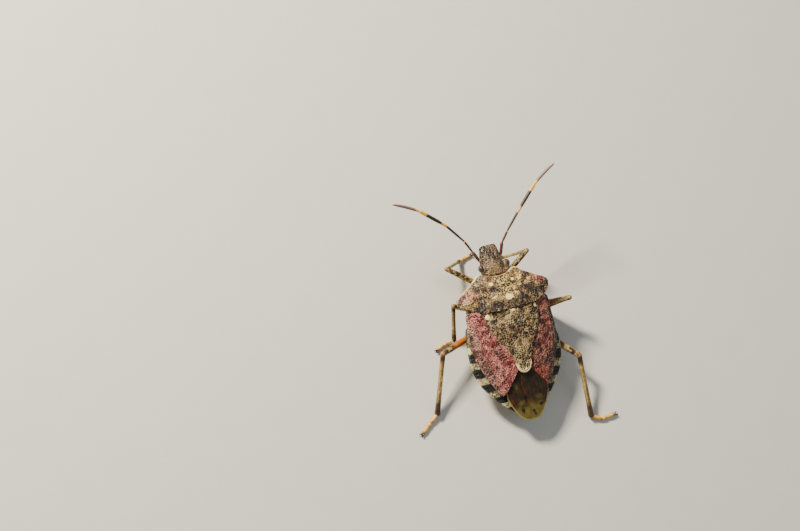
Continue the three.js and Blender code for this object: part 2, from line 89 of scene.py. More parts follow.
def along(knots: Knots) -> Profile:
    """Makes a smooth function through knots, without overshoot.

    Args:
        knots: (station, value) pairs in rising order.

    Returns:
        A function of stations.
    """
    where, value = (np.array(column, float) for column in zip(*knots))
    step = np.diff(where)
    slope = np.diff(value) / step
    before, after = slope[:-1], slope[1:]
    inner = np.where(before * after > 0, 2 * before * after / (before + after + TINY), 0.0)
    tangent = np.concatenate([slope[:1], inner, slope[-1:]])

    def evaluate(station: Array) -> Array:
        """Hermite value at stations, held constant past the ends."""
        s = np.clip(np.asarray(station, float), where[0], where[-1])
        i = np.clip(np.searchsorted(where, s) - 1, 0, len(step) - 1)
        t = (s - where[i]) / step[i]
        h = (t * t * (3 - 2 * t), t * (1 - t) ** 2, t * t * (t - 1))
        rise = value[i] * (1 - h[0]) + value[i + 1] * h[0]
        return rise + step[i] * (tangent[i] * h[1] + tangent[i + 1] * h[2])

    return evaluate


def mix(first: Array, second: Array, share: Array) -> Array:
    """Blends two values by a share from 0 to 1."""
    return first + (second - first) * share


def ramp(value: Array, low: float, high: float) -> Array:
    """Rises smoothly from 0 at low to 1 at high, or falls where high is below low."""
    t = np.clip((value - low) / (high - low), 0, 1)
    return t * t * (3 - 2 * t)


def draw(column: Array, row: Array, seed: int) -> Array:
    """A repeatable number from 0 to 1 for each cell of a lattice."""
    by_column, by_row, by_seed = HASH_PRIMES
    h = (column.astype(np.int64) * by_column) ^ (row.astype(np.int64) * by_row) ^ (seed * by_seed)
    for shift, factor in HASH_ROUNDS:
        h = ((h ^ (h >> shift)) * factor) & 0xFFFFFFFF
    return ((h ^ (h >> 16)) & 0xFFFFFF) / float(1 << 24)


def cloud(x: Array, y: Array, size: float, seed: int, octaves: int = 3) -> Array:
    """Smooth lattice noise from 0 to 1, in octaves.

    Args:
        x: First coordinate.
        y: Second coordinate.
        size: Width of the largest patches.
        seed: Which noise.
        octaves: How many halvings of the size are summed.

    Returns:
        The noise at each point.
    """
    total, weight, height = 0.0, 0.0, 1.0
    for octave in range(octaves):
        u, v = x / size * 2**octave, y / size * 2**octave
        i, j = np.floor(u), np.floor(v)
        a, b = ramp(u - i, 0, 1), ramp(v - j, 0, 1)
        code = seed + 31 * octave
        near = mix(draw(i, j, code), draw(i + 1, j, code), a)
        far = mix(draw(i, j + 1, code), draw(i + 1, j + 1, code), a)
        total = total + height * mix(near, far, b)
        weight += height
        height *= 0.5
    return total / weight


def cells(x: Array, y: Array, size: float, seed: int, jitter: float = 0.8) -> tuple[Array, Array, Array]:
    """Distances to the two nearest points of a jittered lattice.

    Args:
        x: First coordinate.
        y: Second coordinate.
        size: Spacing of the points.
        seed: Which scatter.
        jitter: How far the points stray, as a share of the spacing.

    Returns:
        Nearest and second distance, in units of the spacing, and a random number per nearest point.
    """
    u, v = np.asarray(x, float) / size, np.asarray(y, float) / size
    i0, j0 = np.floor(u), np.floor(v)
    nearest = np.full(u.shape, FAR)
    second = np.full(u.shape, FAR)
    owner = np.zeros(u.shape)
    for di in (-1, 0, 1):
        for dj in (-1, 0, 1):
            i, j = i0 + di, j0 + dj
            px = i + 0.5 + jitter * (draw(i, j, seed) - 0.5)
            py = j + 0.5 + jitter * (draw(i, j, seed + 7) - 0.5)
            away = np.hypot(u - px, v - py)
            closer = away < nearest
            second = np.where(closer, nearest, np.minimum(second, away))
            owner = np.where(closer, draw(i, j, seed + 13), owner)
            nearest = np.where(closer, away, nearest)
    return nearest, second, owner


def blob(x: Array, y: Array, centre: tuple[float, float], radii: tuple[float, float]) -> Array:
    """A soft-edged spot: 1 in the middle, 0 outside."""
    away = np.hypot((x - centre[0]) / radii[0], (y - centre[1]) / radii[1])
    return ramp(away, 1.15, 0.8)


@dataclass(frozen=True)
class Stance:
    """How the body frame stands over the floor of the CAD frame."""

    pitch: float = math.radians(9.7)
    height: float = 2.9
    pivot: float = 7.5
    eye_station: float = 1.78
    eye_height: float = -0.2

    def raw(self, x: Array, station: Array, z: Array) -> Array:
        """Body frame to floor frame, in millimetres, before the part's origin is set."""
        y = np.asarray(station) - self.pivot
        c, s = math.cos(self.pitch), math.sin(self.pitch)
        return np.stack(np.broadcast_arrays(x, y * c + z * s, self.height - y * s + z * c), axis=-1)

    def origin(self) -> Array:
        """Shift from the floor frame to the part's origin, read from the eyes of the CAD model."""
        corners = [corner for node in ("eye_left", "eye_right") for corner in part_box(node)]
        middle = sum((np.array(corner) for corner in corners), np.zeros(3)) / len(corners) / MM
        shift = middle - self.raw(0.0, self.eye_station, self.eye_height)
        return np.array([shift[0], shift[1], 0.0])

    def world(self, x: Array, station: Array, z: Array) -> Array:
        """Body frame to the CAD frame, in metres."""
        return (self.raw(x, station, z) + SHIFT) * MM

    def body(self, x: Array, station: Array, z: Array) -> Array:
        """Body frame to the CAD frame, in millimetres."""
        return self.raw(x, station, z) + SHIFT


STANCE = Stance()
SHIFT = STANCE.origin()


class Mesh:
    """Points, faces and masks of one piece, gathered before its mesh is made."""

    def __init__(self, name: str) -> None:
        """Starts an empty piece with its name."""
        self.name = "skin_" + name.replace(" ", "_")
        self.points: list[Array] = []
        self.quads: list[Array] = []
        self.masks: dict[Mask, list[Array]] = {mask: [] for mask in Mask}
        self.count = 0

    def add(self, points: Array, faces: Array, masks: Masks | None = None) -> None:
        """Adds a closed form.

        Args:
            points: Places in the CAD frame, in metres, one row a point.
            faces: Corner numbers, four a row; a triangle repeats its last corner.
            masks: Values of the masks that aren't 0 all over.
        """
        self.points.append(points)
        self.quads.append(faces + self.count)
        for mask in Mask:
            value = (masks or {}).get(mask, 0.0)
            self.masks[mask].append(np.broadcast_to(np.asarray(value, float), (len(points),)))
        self.count += len(points)

    def make(self) -> bpy.types.Object:
        """Makes the object, with smooth faces and one attribute for each mask."""
        faces = np.concatenate(self.quads)
        corner_count = np.where(faces[:, 2] == faces[:, 3], 3, 4)
        keep = np.ones(faces.shape, bool)
        keep[corner_count == 3, 3] = False
        mesh = bpy.data.meshes.new(self.name)
        mesh.vertices.add(self.count)
        mesh.vertices.foreach_set("co", np.concatenate(self.points).astype(np.float32).ravel())
        mesh.loops.add(int(corner_count.sum()))
        mesh.loops.foreach_set("vertex_index", faces[keep].astype(np.int32))
        mesh.polygons.add(len(faces))
        starts = np.concatenate([[0], np.cumsum(corner_count)[:-1]])
        mesh.polygons.foreach_set("loop_start", starts.astype(np.int32))
        mesh.polygons.foreach_set("use_smooth", np.ones(len(faces), bool))
        mesh.update(calc_edges=True)
        mesh.validate()
        for mask, values in self.masks.items():
            layer = mesh.attributes.new(mask.value, "FLOAT", "POINT")
            layer.data.foreach_set("value", np.concatenate(values).astype(np.float32))
        piece = bpy.data.objects.new(self.name, mesh)
        bpy.context.scene.collection.objects.link(piece)
        return piece


def strips(index: Array) -> Array:
    """Faces between the rows and columns of a grid of point numbers."""
    corners = [index[:-1, :-1], index[:-1, 1:], index[1:, 1:], index[1:, :-1]]
    return np.stack(corners, axis=-1).reshape(-1, 4)


def fan(ring: Array, pole: int) -> Array:
    """Triangles from a closed ring of point numbers to a pole."""
    poles = np.full(len(ring) - 1, pole)
    return np.stack([ring[:-1], ring[1:], poles, poles], axis=-1)


def add_rings(mesh: Mesh, points: Array, poles: Array, masks: Masks | None) -> None:
    """Adds a closed form of rings, with a pole at each end.

    Args:
        mesh: The piece.
        points: Places in the CAD frame, in millimetres, one row a ring.
        poles: Places of the first and the last pole.
        masks: Mask values of the rings.
    """
    rows, sides = points.shape[:2]
    index = np.arange(rows * sides).reshape(rows, sides)
    index = np.concatenate([index, index[:, :1]], axis=1)
    caps = [fan(index[0], rows * sides), fan(index[-1, ::-1], rows * sides + 1)]
    spread = {}
    for mask, value in (masks or {}).items():
        value = np.broadcast_to(value, (rows, sides))
        spread[mask] = np.concatenate([value.ravel(), [value[0, 0], value[-1, 0]]])
    faces = np.concatenate([strips(index)[:, ::-1], *caps])
    mesh.add(np.concatenate([points.reshape(-1, 3), poles]) * MM, faces, spread)


def lengths(path: Array) -> Array:
    """Distance along a path at each of its points."""
    return np.concatenate([[0], np.cumsum(np.linalg.norm(np.diff(path, axis=0), axis=1))])


def places_on(path: Array, distance: Array) -> Array:
    """Places on a straight-sided path, at distances along it."""
    chord = lengths(path)
    return np.stack([np.interp(distance, chord, path[:, axis]) for axis in range(3)], axis=-1)


def curve(points: Knots, count: int, ease: float = 0.0) -> Array:
    """Samples a smooth curve through points.

    Args:
        points: (x, station) pairs in order.
        count: How many samples.
        ease: Share by which the samples crowd towards both ends.

    Returns:
        One row a sample, of x and station.
    """
    knots = np.array(points, float)
    chord = lengths(knots)
    share = np.linspace(0, 1, count)
    share = mix(share, (1 - np.cos(np.pi * share)) / 2, ease)
    columns = [along(tuple(zip(chord, knots[:, axis])))(share * chord[-1]) for axis in (0, 1)]
    return np.stack(columns, axis=-1)


def mirrored(points: Knots) -> Knots:
    """The same points on the other side."""
    return tuple((-x, station) for x, station in points)


def rim_distance(x: Array, station: Array, outline: Array) -> Array:
    """Distance from each point to a closed outline."""
    start, end = outline, np.roll(outline, -1, axis=0)
    span = end - start
    length = np.maximum((span**2).sum(axis=1), TINY)
    best = np.full(x.shape, FAR)
    for (x0, s0), (dx, ds), size in zip(start, span, length):
        share = np.clip(((x - x0) * dx + (station - s0) * ds) / size, 0, 1)
        best = np.minimum(best, np.hypot(x - x0 - share * dx, station - s0 - share * ds))
    return best


class Plate:
    """A closed plate spanned between two edge curves, with a rounded rim."""

    def __init__(self, first: Array, second: Array, columns: int, ease: float = 0.5) -> None:
        """Lays the grid.

        Args:
            first: One edge, one row a point.
            second: The edge across from it, with as many points.
            columns: Points across, from one edge to the other.
            ease: Share by which the points crowd towards the edges.
        """
        share = np.linspace(0, 1, columns)
        self.share = mix(share, (1 - np.cos(np.pi * share)) / 2, ease)
        grid = first[:, None, :] + (second - first)[:, None, :] * self.share[None, :, None]
        self.x, self.station = grid[..., 0], grid[..., 1]
        self.rim = rim_distance(self.x, self.station, np.concatenate([first, second[::-1]]))

    def add_to(
        self, mesh: Mesh, top: Array, bottom: Array, masks: Masks, under: Masks, edge: float, seam: float
    ) -> None:
        """Adds the plate to a piece.

        Args:
            mesh: The piece.
            top: Heights of the upper side over the grid.
            bottom: Heights of the lower side.
            masks: Mask grids of the upper side.
            under: Mask grids of the lower side.
            edge: Radius of the rim's rounding.
            seam: Where the two sides meet, from 0 at the bottom to 1 at the top.
        """
        turn = np.sqrt(1 - (1 - np.clip(self.rim / edge, 0, 1)) ** 2)
        middle = mix(bottom, top, seam)
        rows, columns = self.x.shape
        border = np.zeros((rows, columns), bool)
        border[[0, -1], :] = True
        border[:, [0, -1]] = True
        above = np.arange(rows * columns).reshape(rows, columns)
        below = above.copy()
        below[~border] = rows * columns + np.arange((~border).sum())
        upper = STANCE.world(self.x, self.station, middle + (top - middle) * turn)
        lower = STANCE.world(self.x, self.station, middle + (bottom - middle) * turn)
        faces = np.concatenate([strips(above), strips(below)[:, ::-1]])
        i, j = rows // 2, columns // 2
        across = np.array([self.x[i, j + 1] - self.x[i, j], self.station[i, j + 1] - self.station[i, j]])
        down = np.array([self.x[i + 1, j] - self.x[i, j], self.station[i + 1, j] - self.station[i, j]])
        if across[0] * down[1] - across[1] * down[0] < 0:
            faces = faces[:, ::-1]
        spread = {}
        for mask in Mask:
            over = np.broadcast_to(masks.get(mask, 0.0), self.x.shape)
            beneath = np.broadcast_to(under.get(mask, 0.0), self.x.shape)
            spread[mask] = np.concatenate([over.ravel(), beneath[~border]])
        mesh.add(np.concatenate([upper.reshape(-1, 3), lower[~border]]), faces, spread)


def symmetric(half: Knots, rows: int, ease: float, columns: int, crowding: float = 0.5) -> Plate:
    """Plate between an edge on the left and its mirror image on the right."""
    return Plate(curve(half, rows, ease), curve(mirrored(half), rows, ease), columns, crowding)


def unit(vector: Array) -> Array:
    """Vectors of length one."""
    return vector / np.maximum(np.linalg.norm(vector, axis=-1, keepdims=True), TINY)


class Tube:
    """A closed limb along a path in the CAD frame, in millimetres, with domed ends."""

    hair_radius = 0.006
    hair_sink = 0.01
    hair_lean = (0.75, 0.65)
    hair_sizes = (0.6, 1.1)
    dome_rings = 5
    dome_depth = 0.8
    dome_tip = 0.02
    steep = 0.9

    def __init__(self, path: Array, radii: Array, rings: int, sides: int = 28, flat: float = 1.0) -> None:
        """Lays rings along the path.

        Args:
            path: Points of the axis, one row a point.
            radii: Radius at each point.
            rings: Rings between the ends.
            sides: Points round each ring.
            flat: Width over depth of the section.
        """
        chord = lengths(path)
        distance = np.linspace(0, chord[-1], rings)
        line = [along(tuple(zip(chord, path[:, axis])))(distance) for axis in range(3)]
        self.length = chord[-1]
        self.line = np.stack(line, axis=-1)
        radius = along(tuple(zip(chord, radii)))(distance)
        forward = unit(np.gradient(self.line, axis=0))
        turns = np.linspace(0, np.pi / 2, self.dome_rings + 1)[1:]
        depths = self.dome_depth * np.sin(turns)[:, None]
        start = self.line[0] - forward[0] * radius[0] * depths
        end = self.line[-1] + forward[-1] * radius[-1] * depths
        close = np.maximum(np.cos(turns), self.dome_tip)
        self.line = np.concatenate([start[::-1], self.line, end])
        self.radius = np.concatenate([(radius[0] * close)[::-1], radius, radius[-1] * close])
        self.forward = np.concatenate([[forward[0]] * len(turns), forward, [forward[-1]] * len(turns)])
        self.share = np.concatenate([np.zeros(len(turns)), distance / chord[-1], np.ones(len(turns))])
        self.angle = np.arange(sides) * 2 * np.pi / sides
        self.flat = flat
        whole = unit(path[-1] - path[0])
        guide = np.array([1.0, 0, 0] if abs(whole[2]) > self.steep else [0, 0, 1.0])
        self.across = unit(np.cross(self.forward, guide))
        self.over = np.cross(self.across, self.forward)

    def rings(self, swell: Array | float = 0.0) -> Array:
        """Points of every ring, moved outwards by a swelling in millimetres."""
        wide = (self.radius[:, None] * self.flat + swell) * np.cos(self.angle)
        deep = (self.radius[:, None] + swell) * np.sin(self.angle)
        across, over = self.across[:, None, :], self.over[:, None, :]
        return self.line[:, None, :] + across * wide[..., None] + over * deep[..., None]

    @property
    def grid(self) -> tuple[Array, Array]:
        """Share of the length and angle at each ring point."""
        return np.meshgrid(self.share, self.angle, indexing="ij")

    def add_to(self, mesh: Mesh, swell: Array | float = 0.0, masks: Masks | None = None) -> None:
        """Adds the limb to a piece."""
        points = self.rings(swell)
        add_rings(mesh, points, points[[0, -1]].mean(axis=1), masks)

    def hairs(self, mesh: Mesh, count: int, length: float, seed: int, masks: Masks | None = None) -> None:
        """Adds short bristles that lean towards the tip.

        Args:
            mesh: The piece.
            count: How many.
            length: Their length in millimetres.
            seed: Which scatter.
            masks: Mask values of the bristles.
        """
        random = np.random.default_rng(seed)
        ring = random.uniform(self.dome_rings, len(self.share) - self.dome_rings - 1, count)
        low = np.floor(ring).astype(int)
        part = (ring - low)[:, None]
        angle = random.uniform(0, 2 * np.pi, count)[:, None]
        across, over, line, forward = (
            mix(values[low], values[low + 1], part)
            for values in (self.across, self.over, self.line, self.forward)
        )
        forward = unit(forward)
        out = unit(across * np.cos(angle) + over * np.sin(angle))
        radius = mix(self.radius[low], self.radius[low + 1], part[:, 0])[:, None]
        reach = radius * np.hypot(self.flat * np.cos(angle), np.sin(angle))
        root = line + out * (reach - self.hair_sink)
        size = length * random.uniform(*self.hair_sizes, count)[:, None]
        tip = root + (out * self.hair_lean[0] + forward * self.hair_lean[1]) * size
        tip[:, 2] = np.maximum(tip[:, 2], self.hair_radius)
        side = np.cross(out, forward)
        thick = self.hair_radius
        back = root - side * thick * 0.5
        base = [root + side * thick, back + forward * thick, back - forward * thick]
        points = np.stack([*base, tip], axis=1)
        start = np.arange(count)[:, None] * 4
        sides = ([1, 0, 3, 3], [2, 1, 3, 3], [0, 2, 3, 3], [0, 1, 2, 2])
        faces = np.concatenate([start + np.array(face) for face in sides])
        mesh.add(points.reshape(-1, 3) * MM, faces, masks)


class Ball:
    """A closed ball in the CAD frame, in millimetres."""

    def __init__(self, centre: Array, radii: tuple[float, float, float], sides: int = 32) -> None:
        """Lays the grid of the ball."""
        turn = np.arange(sides) * 2 * np.pi / sides
        tilt = np.linspace(0, np.pi, sides // 2 + 1)[1:-1]
        self.tilt, self.turn = np.meshgrid(tilt, turn, indexing="ij")
        sine = np.sin(self.tilt)
        level = (sine * np.cos(self.turn), sine * np.sin(self.turn))
        self.out = np.stack([*level, np.cos(self.tilt)], axis=-1)
        self.centre, self.radii = np.asarray(centre, float), np.array(radii)

    def add_to(self, mesh: Mesh, masks: Masks | None = None) -> None:
        """Adds the ball to a piece."""
        depth = self.radii[2]
        poles = self.centre + np.array([[0, 0, depth], [0, 0, -depth]])
        add_rings(mesh, self.centre + self.out * self.radii, poles, masks)


def colour(code: str) -> tuple[float, float, float, float]:
    """Linear colour of a six-digit sRGB code."""
    parts = [int(code[i : i + 2], 16) / 255 for i in (0, 2, 4)]
    linear = [p / 12.92 if p <= 0.04045 else ((p + 0.055) / 1.055) ** 2.4 for p in parts]
    return (*linear, 1.0)


class Wire:
    """A number or colour inside a material, with Python's arithmetic on numbers."""

    def __init__(self, graph: "Graph", socket: bpy.types.NodeSocket) -> None:
        """Wraps an output socket of a graph's node."""
        self.graph = graph
        self.socket = socket

    def _math(self, operation: str, *values: "Wire | float") -> "Wire":
        """A Math node over values."""
        node = self.graph.node("ShaderNodeMath", {"operation": operation}, dict(enumerate(values)))
        return Wire(self.graph, node.outputs[0])

    def __add__(self, other: "Wire | float") -> "Wire":
        """Sum."""
        return self._math("ADD", self, other)

    __radd__ = __add__

    def __sub__(self, other: "Wire | float") -> "Wire":
        """Difference."""
        return self._math("SUBTRACT", self, other)

    def __rsub__(self, other: float) -> "Wire":
        """Difference from a number."""
        return self._math("SUBTRACT", other, self)

    def __mul__(self, other: "Wire | float") -> "Wire":
        """Product."""
        return self._math("MULTIPLY", self, other)

    __rmul__ = __mul__

    def __truediv__(self, other: "Wire | float") -> "Wire":
        """Quotient."""
        return self._math("DIVIDE", self, other)

    def __pow__(self, other: "Wire | float") -> "Wire":
        """Power."""
        return self._math("POWER", self, other)

    def rise(self, low: float, high: float) -> "Wire":
        """Smooth step from 0 at low to 1 at high."""
        settings = {"interpolation_type": "SMOOTHSTEP"}
        values = {"Value": self, "From Min": min(low, high), "From Max": max(low, high)}
        if low > high:
            values |= {"To Min": 1.0, "To Max": 0.0}
        node = self.graph.node("ShaderNodeMapRange", settings, values)
        return Wire(self.graph, node.outputs[0])


class Graph:
    """The node tree of one material."""

    def __init__(self, name: str) -> None:
        """Makes an empty material with its output and surface shader."""
        self.material = bpy.data.materials.new(name)
        self.material.use_nodes = True
        self.tree = self.material.node_tree
        self.tree.nodes.clear()
        self.output = self.node("ShaderNodeOutputMaterial", {}, {})
        self.shader = self.node("ShaderNodeBsdfPrincipled", {}, {})
        self.tree.links.new(self.shader.outputs[0], self.output.inputs["Surface"])

    def node(self, kind: str, settings: dict, values: dict) -> bpy.types.Node:
        """Makes a node.

        Args:
            kind: Its type.
            settings: Properties, set first because some change the sockets.
            values: Socket names, identifiers or numbers, with a value, a wire or a socket each.

        Returns:
            The node.
        """
        made = self.tree.nodes.new(kind)
        for key, value in settings.items():
            setattr(made, key, value)
        for key, value in values.items():
            socket = made.inputs[key] if isinstance(key, int) else self.find(made, key)
            if isinstance(value, Wire):
                value = value.socket
            if isinstance(value, bpy.types.NodeSocket):
                self.tree.links.new(value, socket)
            else:
                socket.default_value = value
        return made

    @staticmethod
    def find(node: bpy.types.Node, key: str) -> bpy.types.NodeSocket:
        """Input socket by identifier, or else by name."""
        return next((s for s in node.inputs if s.identifier == key), None) or node.inputs[key]

    def mask(self, mask: Mask) -> Wire:
        """Point mask of the piece."""
        node = self.node("ShaderNodeAttribute", {"attribute_name": mask.value}, {})
        return Wire(self, node.outputs["Fac"])

    @property
    def place(self) -> bpy.types.NodeSocket:
        """The point's place on the object."""
        return self.node("ShaderNodeTexCoord", {}, {}).outputs["Object"]

    def noise(self, size: float, detail: float = 3.0, rough: float = 0.55) -> Wire:
        """Noise from 0 to 1 with patches of a size in millimetres."""
        values = {"Vector": self.place, "Scale": 1 / (size * MM), "Detail": detail, "Roughness": rough}
        return Wire(self, self.node("ShaderNodeTexNoise", {}, values).outputs["Fac"])

    def spots(self, size: float) -> Wire:
        """Distance to the nearest of scattered points, in units of their spacing in millimetres."""
        values = {"Vector": self.place, "Scale": 1 / (size * MM)}
        return Wire(self, self.node("ShaderNodeTexVoronoi", {}, values).outputs["Distance"])

    def blend(self, first: "Wire | tuple", second: "Wire | tuple", share: "Wire | float") -> Wire:
        """Colour between two by a share."""
        values = {"Factor_Float": share, "A_Color": first, "B_Color": second}
        node = self.node("ShaderNodeMix", {"data_type": "RGBA", "clamp_factor": True}, values)
        result = next(s for s in node.outputs if s.identifier == "Result_Color")
        return Wire(self, result)

    def bump(self, height: Wire, depth: float) -> bpy.types.NodeSocket:
        """Normal bent by a height field whose full range is a depth in millimetres."""
        values = {"Height": height, "Distance": depth * MM, "Strength": 1.0}
        return self.node("ShaderNodeBump", {}, values).outputs["Normal"]

    def surface(self, **values: "Wire | float | tuple | bpy.types.NodeSocket") -> None:
        """Sets the surface shader's sockets, with underscores for spaces."""
        for key, value in values.items():
            socket = self.shader.inputs[key.replace("_", " ")]
            if isinstance(value, Wire):
                value = value.socket
            if isinstance(value, bpy.types.NodeSocket):
                self.tree.links.new(value, socket)
            else:
                socket.default_value = value


@dataclass(frozen=True)
class Cuticle:
    """Finish of a hard, punctured skin: one colour for each mask over a mottled ground."""

    name: str
    ground: str
    mottle: str
    pit: str
    pale: str = "d8cda4"
    gloom: str = "2c2a2c"
    rose: str = "a85a62"
    amber: str = "9a5a26"
    mottle_size: float = 0.35
    grain_size: float = 0.05
    roughness: float = 0.42
    coat: float = 0.1
    relief: float = 0.012

    def make(self) -> bpy.types.Material:
        """Makes the material."""
        graph = Graph(self.name)
        broad = graph.noise(self.mottle_size).rise(0.42, 0.58)
        grain = graph.noise(self.grain_size, 2.0)
        shade = graph.blend(colour(self.ground), colour(self.mottle), broad)
        shade = graph.blend(shade, colour(self.amber), graph.mask(Mask.AMBER))
        shade = graph.blend(shade, colour(self.rose), graph.mask(Mask.ROSE))
        shade = graph.blend(shade, colour(self.gloom), graph.mask(Mask.GLOOM))
        shade = graph.blend(shade, colour(self.pit), grain.rise(0.45, 0.75) * 0.35)
        shade = graph.blend(shade, colour(self.pale), graph.mask(Mask.PALE))
        pit = graph.mask(Mask.PIT)
        shade = graph.blend(shade, colour(self.pit), pit)
        graph.surface(
            Base_Color=shade,
            Roughness=self.roughness + (grain - 0.5) * 0.3 + pit * 0.4,
            Coat_Weight=(1 - pit) * self.coat,
            Coat_Roughness=0.3,
            Normal=graph.bump(grain, self.relief),
        )
        return graph.material


@dataclass(frozen=True)
class Gloss:
    """Finish of a smooth hard part, such as an eye or a claw."""

    name: str
    dark: str
    light: str
    cell: float = 0.04
    roughness: float = 0.2
    relief: float = 0.01

    def make(self) -> bpy.types.Material:
        """Makes the material, with small round cells."""
        graph = Graph(self.name)
        cells_here = graph.spots(self.cell)
        patches = graph.noise(self.cell * 8)
        shade = graph.blend(colour(self.dark), colour(self.light), patches.rise(0.35, 0.7))
        shade = graph.blend(shade, colour(self.dark), cells_here.rise(0.35, 0.6) * 0.7)
        graph.surface(
            Base_Color=shade,
            Roughness=self.roughness,
            Coat_Weight=0.4,
            Coat_Roughness=0.1,
            Normal=graph.bump(cells_here.rise(0.6, 0.0), self.relief),
        )
        return graph.material


@dataclass(frozen=True)
class Membrane:
    """Finish of the thin hind part of a wing: smoky, with a paler tip."""

    name: str = "wing membrane"
    smoke: str = "33240f"
    deep: str = "1a1008"
    tip: str = "74682e"
    rim: str = "b0a862"
    tint: str = "5e2812"

    def make(self) -> bpy.types.Material:
        """Makes the material."""
        graph = Graph(self.name)
        patches = graph.noise(0.5).rise(0.3, 0.7)
        grain = graph.noise(0.06, 2.0)
        shade = graph.blend(colour(self.smoke), colour(self.deep), patches)
        shade = graph.blend(shade, colour(self.tip), graph.mask(Mask.AMBER))
        shade = graph.blend(shade, colour(self.tint), graph.mask(Mask.ROSE))
        shade = graph.blend(shade, colour(self.rim), graph.mask(Mask.PALE))
        shade = graph.blend(shade, colour(self.deep), graph.mask(Mask.GLOOM))
        graph.surface(
            Base_Color=shade,
            Roughness=0.5 + grain * 0.2,
            Specular_IOR_Level=0.3,
            Normal=graph.bump(grain, 0.006),
        )
        return graph.material


SHIELD_SKIN = Cuticle(
    "shield skin", ground="82602c", mottle="523a22", pit="0e0a08", pale="ffe49a", gloom="261e26",
    rose="b4545a",
)
SCUTELLUM_SKIN = Cuticle(
    "scutellum skin", ground="84622e", mottle="54402a", pit="0f0b0a", pale="ffeaae", gloom="251e28",
)
WING_SKIN = Cuticle(
    "wing skin", ground="7c5a4c", mottle="5c4038", pit="1e0a08", pale="ffc2ae", gloom="2c1614",
    rose="a03a40", amber="9a5c28",
)
# Painted shade: a darker copy of the wing skin, used on the right wing, which lies on the shaded side.
SHADED_WING_SKIN = Cuticle(
    "dark wing skin", ground="644636", mottle="483028", pit="180806", pale="f8b094", gloom="1e0e0c",
    rose="923628", amber="84481c",
)
HEAD_SKIN = Cuticle(
    "head skin", ground="4c3e28", mottle="30291e", pit="0a0807", pale="ac9264", gloom="1c1918",
)
BELLY_SKIN = Cuticle(
    "belly skin", ground="b89e62", mottle="a0864e", pit="38291a", mottle_size=0.8, pale="dccb8c",
    gloom="4a3a28",
)
MARGIN_SKIN = Cuticle(
    "margin skin", ground="8c7e50", mottle="766a44", pit="1c1c18", pale="e4dca4", gloom="111218",
    rose="6a4a40", amber="b89e62",
)
LEG_SKIN = Cuticle(
    "leg skin", ground="664818", mottle="422c12", pit="160b06", pale="eaca7c", gloom="24120a",
    amber="b86008", rose="a87850", roughness=0.4, coat=0.15,
)
# Its pale colour also serves as a painted highlight on the upper side of the foot joints.
FOOT_SKIN = Cuticle(
    "foot skin", ground="dc9c1c", mottle="c88012", pit="7a3c14", pale="f8d25a", gloom="6a2c12",
    amber="d87c10", roughness=0.4, coat=0.15,
)
# Its rose colour serves only as a painted sheen on the upper side of the antenna joints.
FEELER_SKIN = Cuticle(
    "feeler skin", ground="1c0e0a", mottle="120906", pit="0a0605", pale="eeb020", gloom="100806",
    amber="5c2614", rose="8a6e62", roughness=0.45, coat=0.08,
)
EYE_GLOSS = Gloss("eye gloss", dark="180c0c", light="5c3634", roughness=0.4)
OCELLUS_GLOSS = Gloss("ocellus gloss", dark="7a0c14", light="d01828", cell=0.2, roughness=0.12)
CLAW_GLOSS = Gloss("claw gloss", dark="2c160c", light="6a3418", cell=0.1)
WING_GLASS = Membrane()


def dress(mesh: Mesh, slot: str, finish: Cuticle | Gloss | Membrane, *nodes: str) -> bpy.types.Object:
    """Makes a piece visible.

    Args:
        mesh: Its gathered forms.
        slot: Not used.
        finish: Its finish.
        nodes: CAD nodes that it stands for.

    Returns:
        The object.
    """
    piece = mesh.make()
    material = bpy.data.materials.get(finish.name) or finish.make()
    piece.data.materials.append(material)
    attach(piece, "root")
    if nodes:
        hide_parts(*nodes)
    LOG.info("%s: %d faces", piece.name, len(piece.data.polygons))
    return piece


@dataclass(frozen=True)
class Grain:
    """Punctures of a stretch of skin: crowded pits, with smooth pale wrinkles between the crowds."""

    size: float
    seed: int
    fewest: float = 0.5
    patch: float = 0.42
    depth: float = 0.04
    squiggle: float = 0.9

    def lay(self, x: Array, station: Array) -> tuple[Array, Array, Array]:
        """Works out the punctures.

        Args:
            x: First coordinate.
            station: Second coordinate.

        Returns:
            Masks of the pits, of the raised net between them, and of how crowded they are.
        """
        crowd = ramp(cloud(x, station, self.patch, self.seed + 1, 3), 0.34, 0.64)
        span = self.squiggle * self.size
        wander_x = span * (cloud(x, station, self.size * 1.3, self.seed + 2, 2) - 0.5)
        wander_s = span * (cloud(x, station, self.size * 1.3, self.seed + 3, 2) - 0.5)
        nearest, second, owner = cells(x + wander_x, station + wander_s, self.size, self.seed, 0.9)
        reach = mix(0.38, 0.54, crowd)
        pit = ramp(nearest, reach, reach * 0.5) * (owner < mix(self.fewest, 1.0, crowd))
        return pit, ramp(second - nearest, 0.3, 0.04), crowd

    def relief(self, pit: Array, net: Array) -> Array:
        """Height that the punctures add, in millimetres."""
        return 0.4 * self.depth * net - self.depth * pit


def wall(x: Array, depth: Array) -> Array:
    """First coordinate for a pattern that runs down a steep side without being drawn out."""
    return x - np.sign(x) * depth


def spots(x: Array, station: Array, places: tuple[Spot, ...]) -> Array:
    """Mask of soft-edged spots, given by their x, station and two radii."""
    masks = [blob(x, station, (px, ps), (wide, long)) for px, ps, wide, long in places]
    return np.max(masks, axis=0)


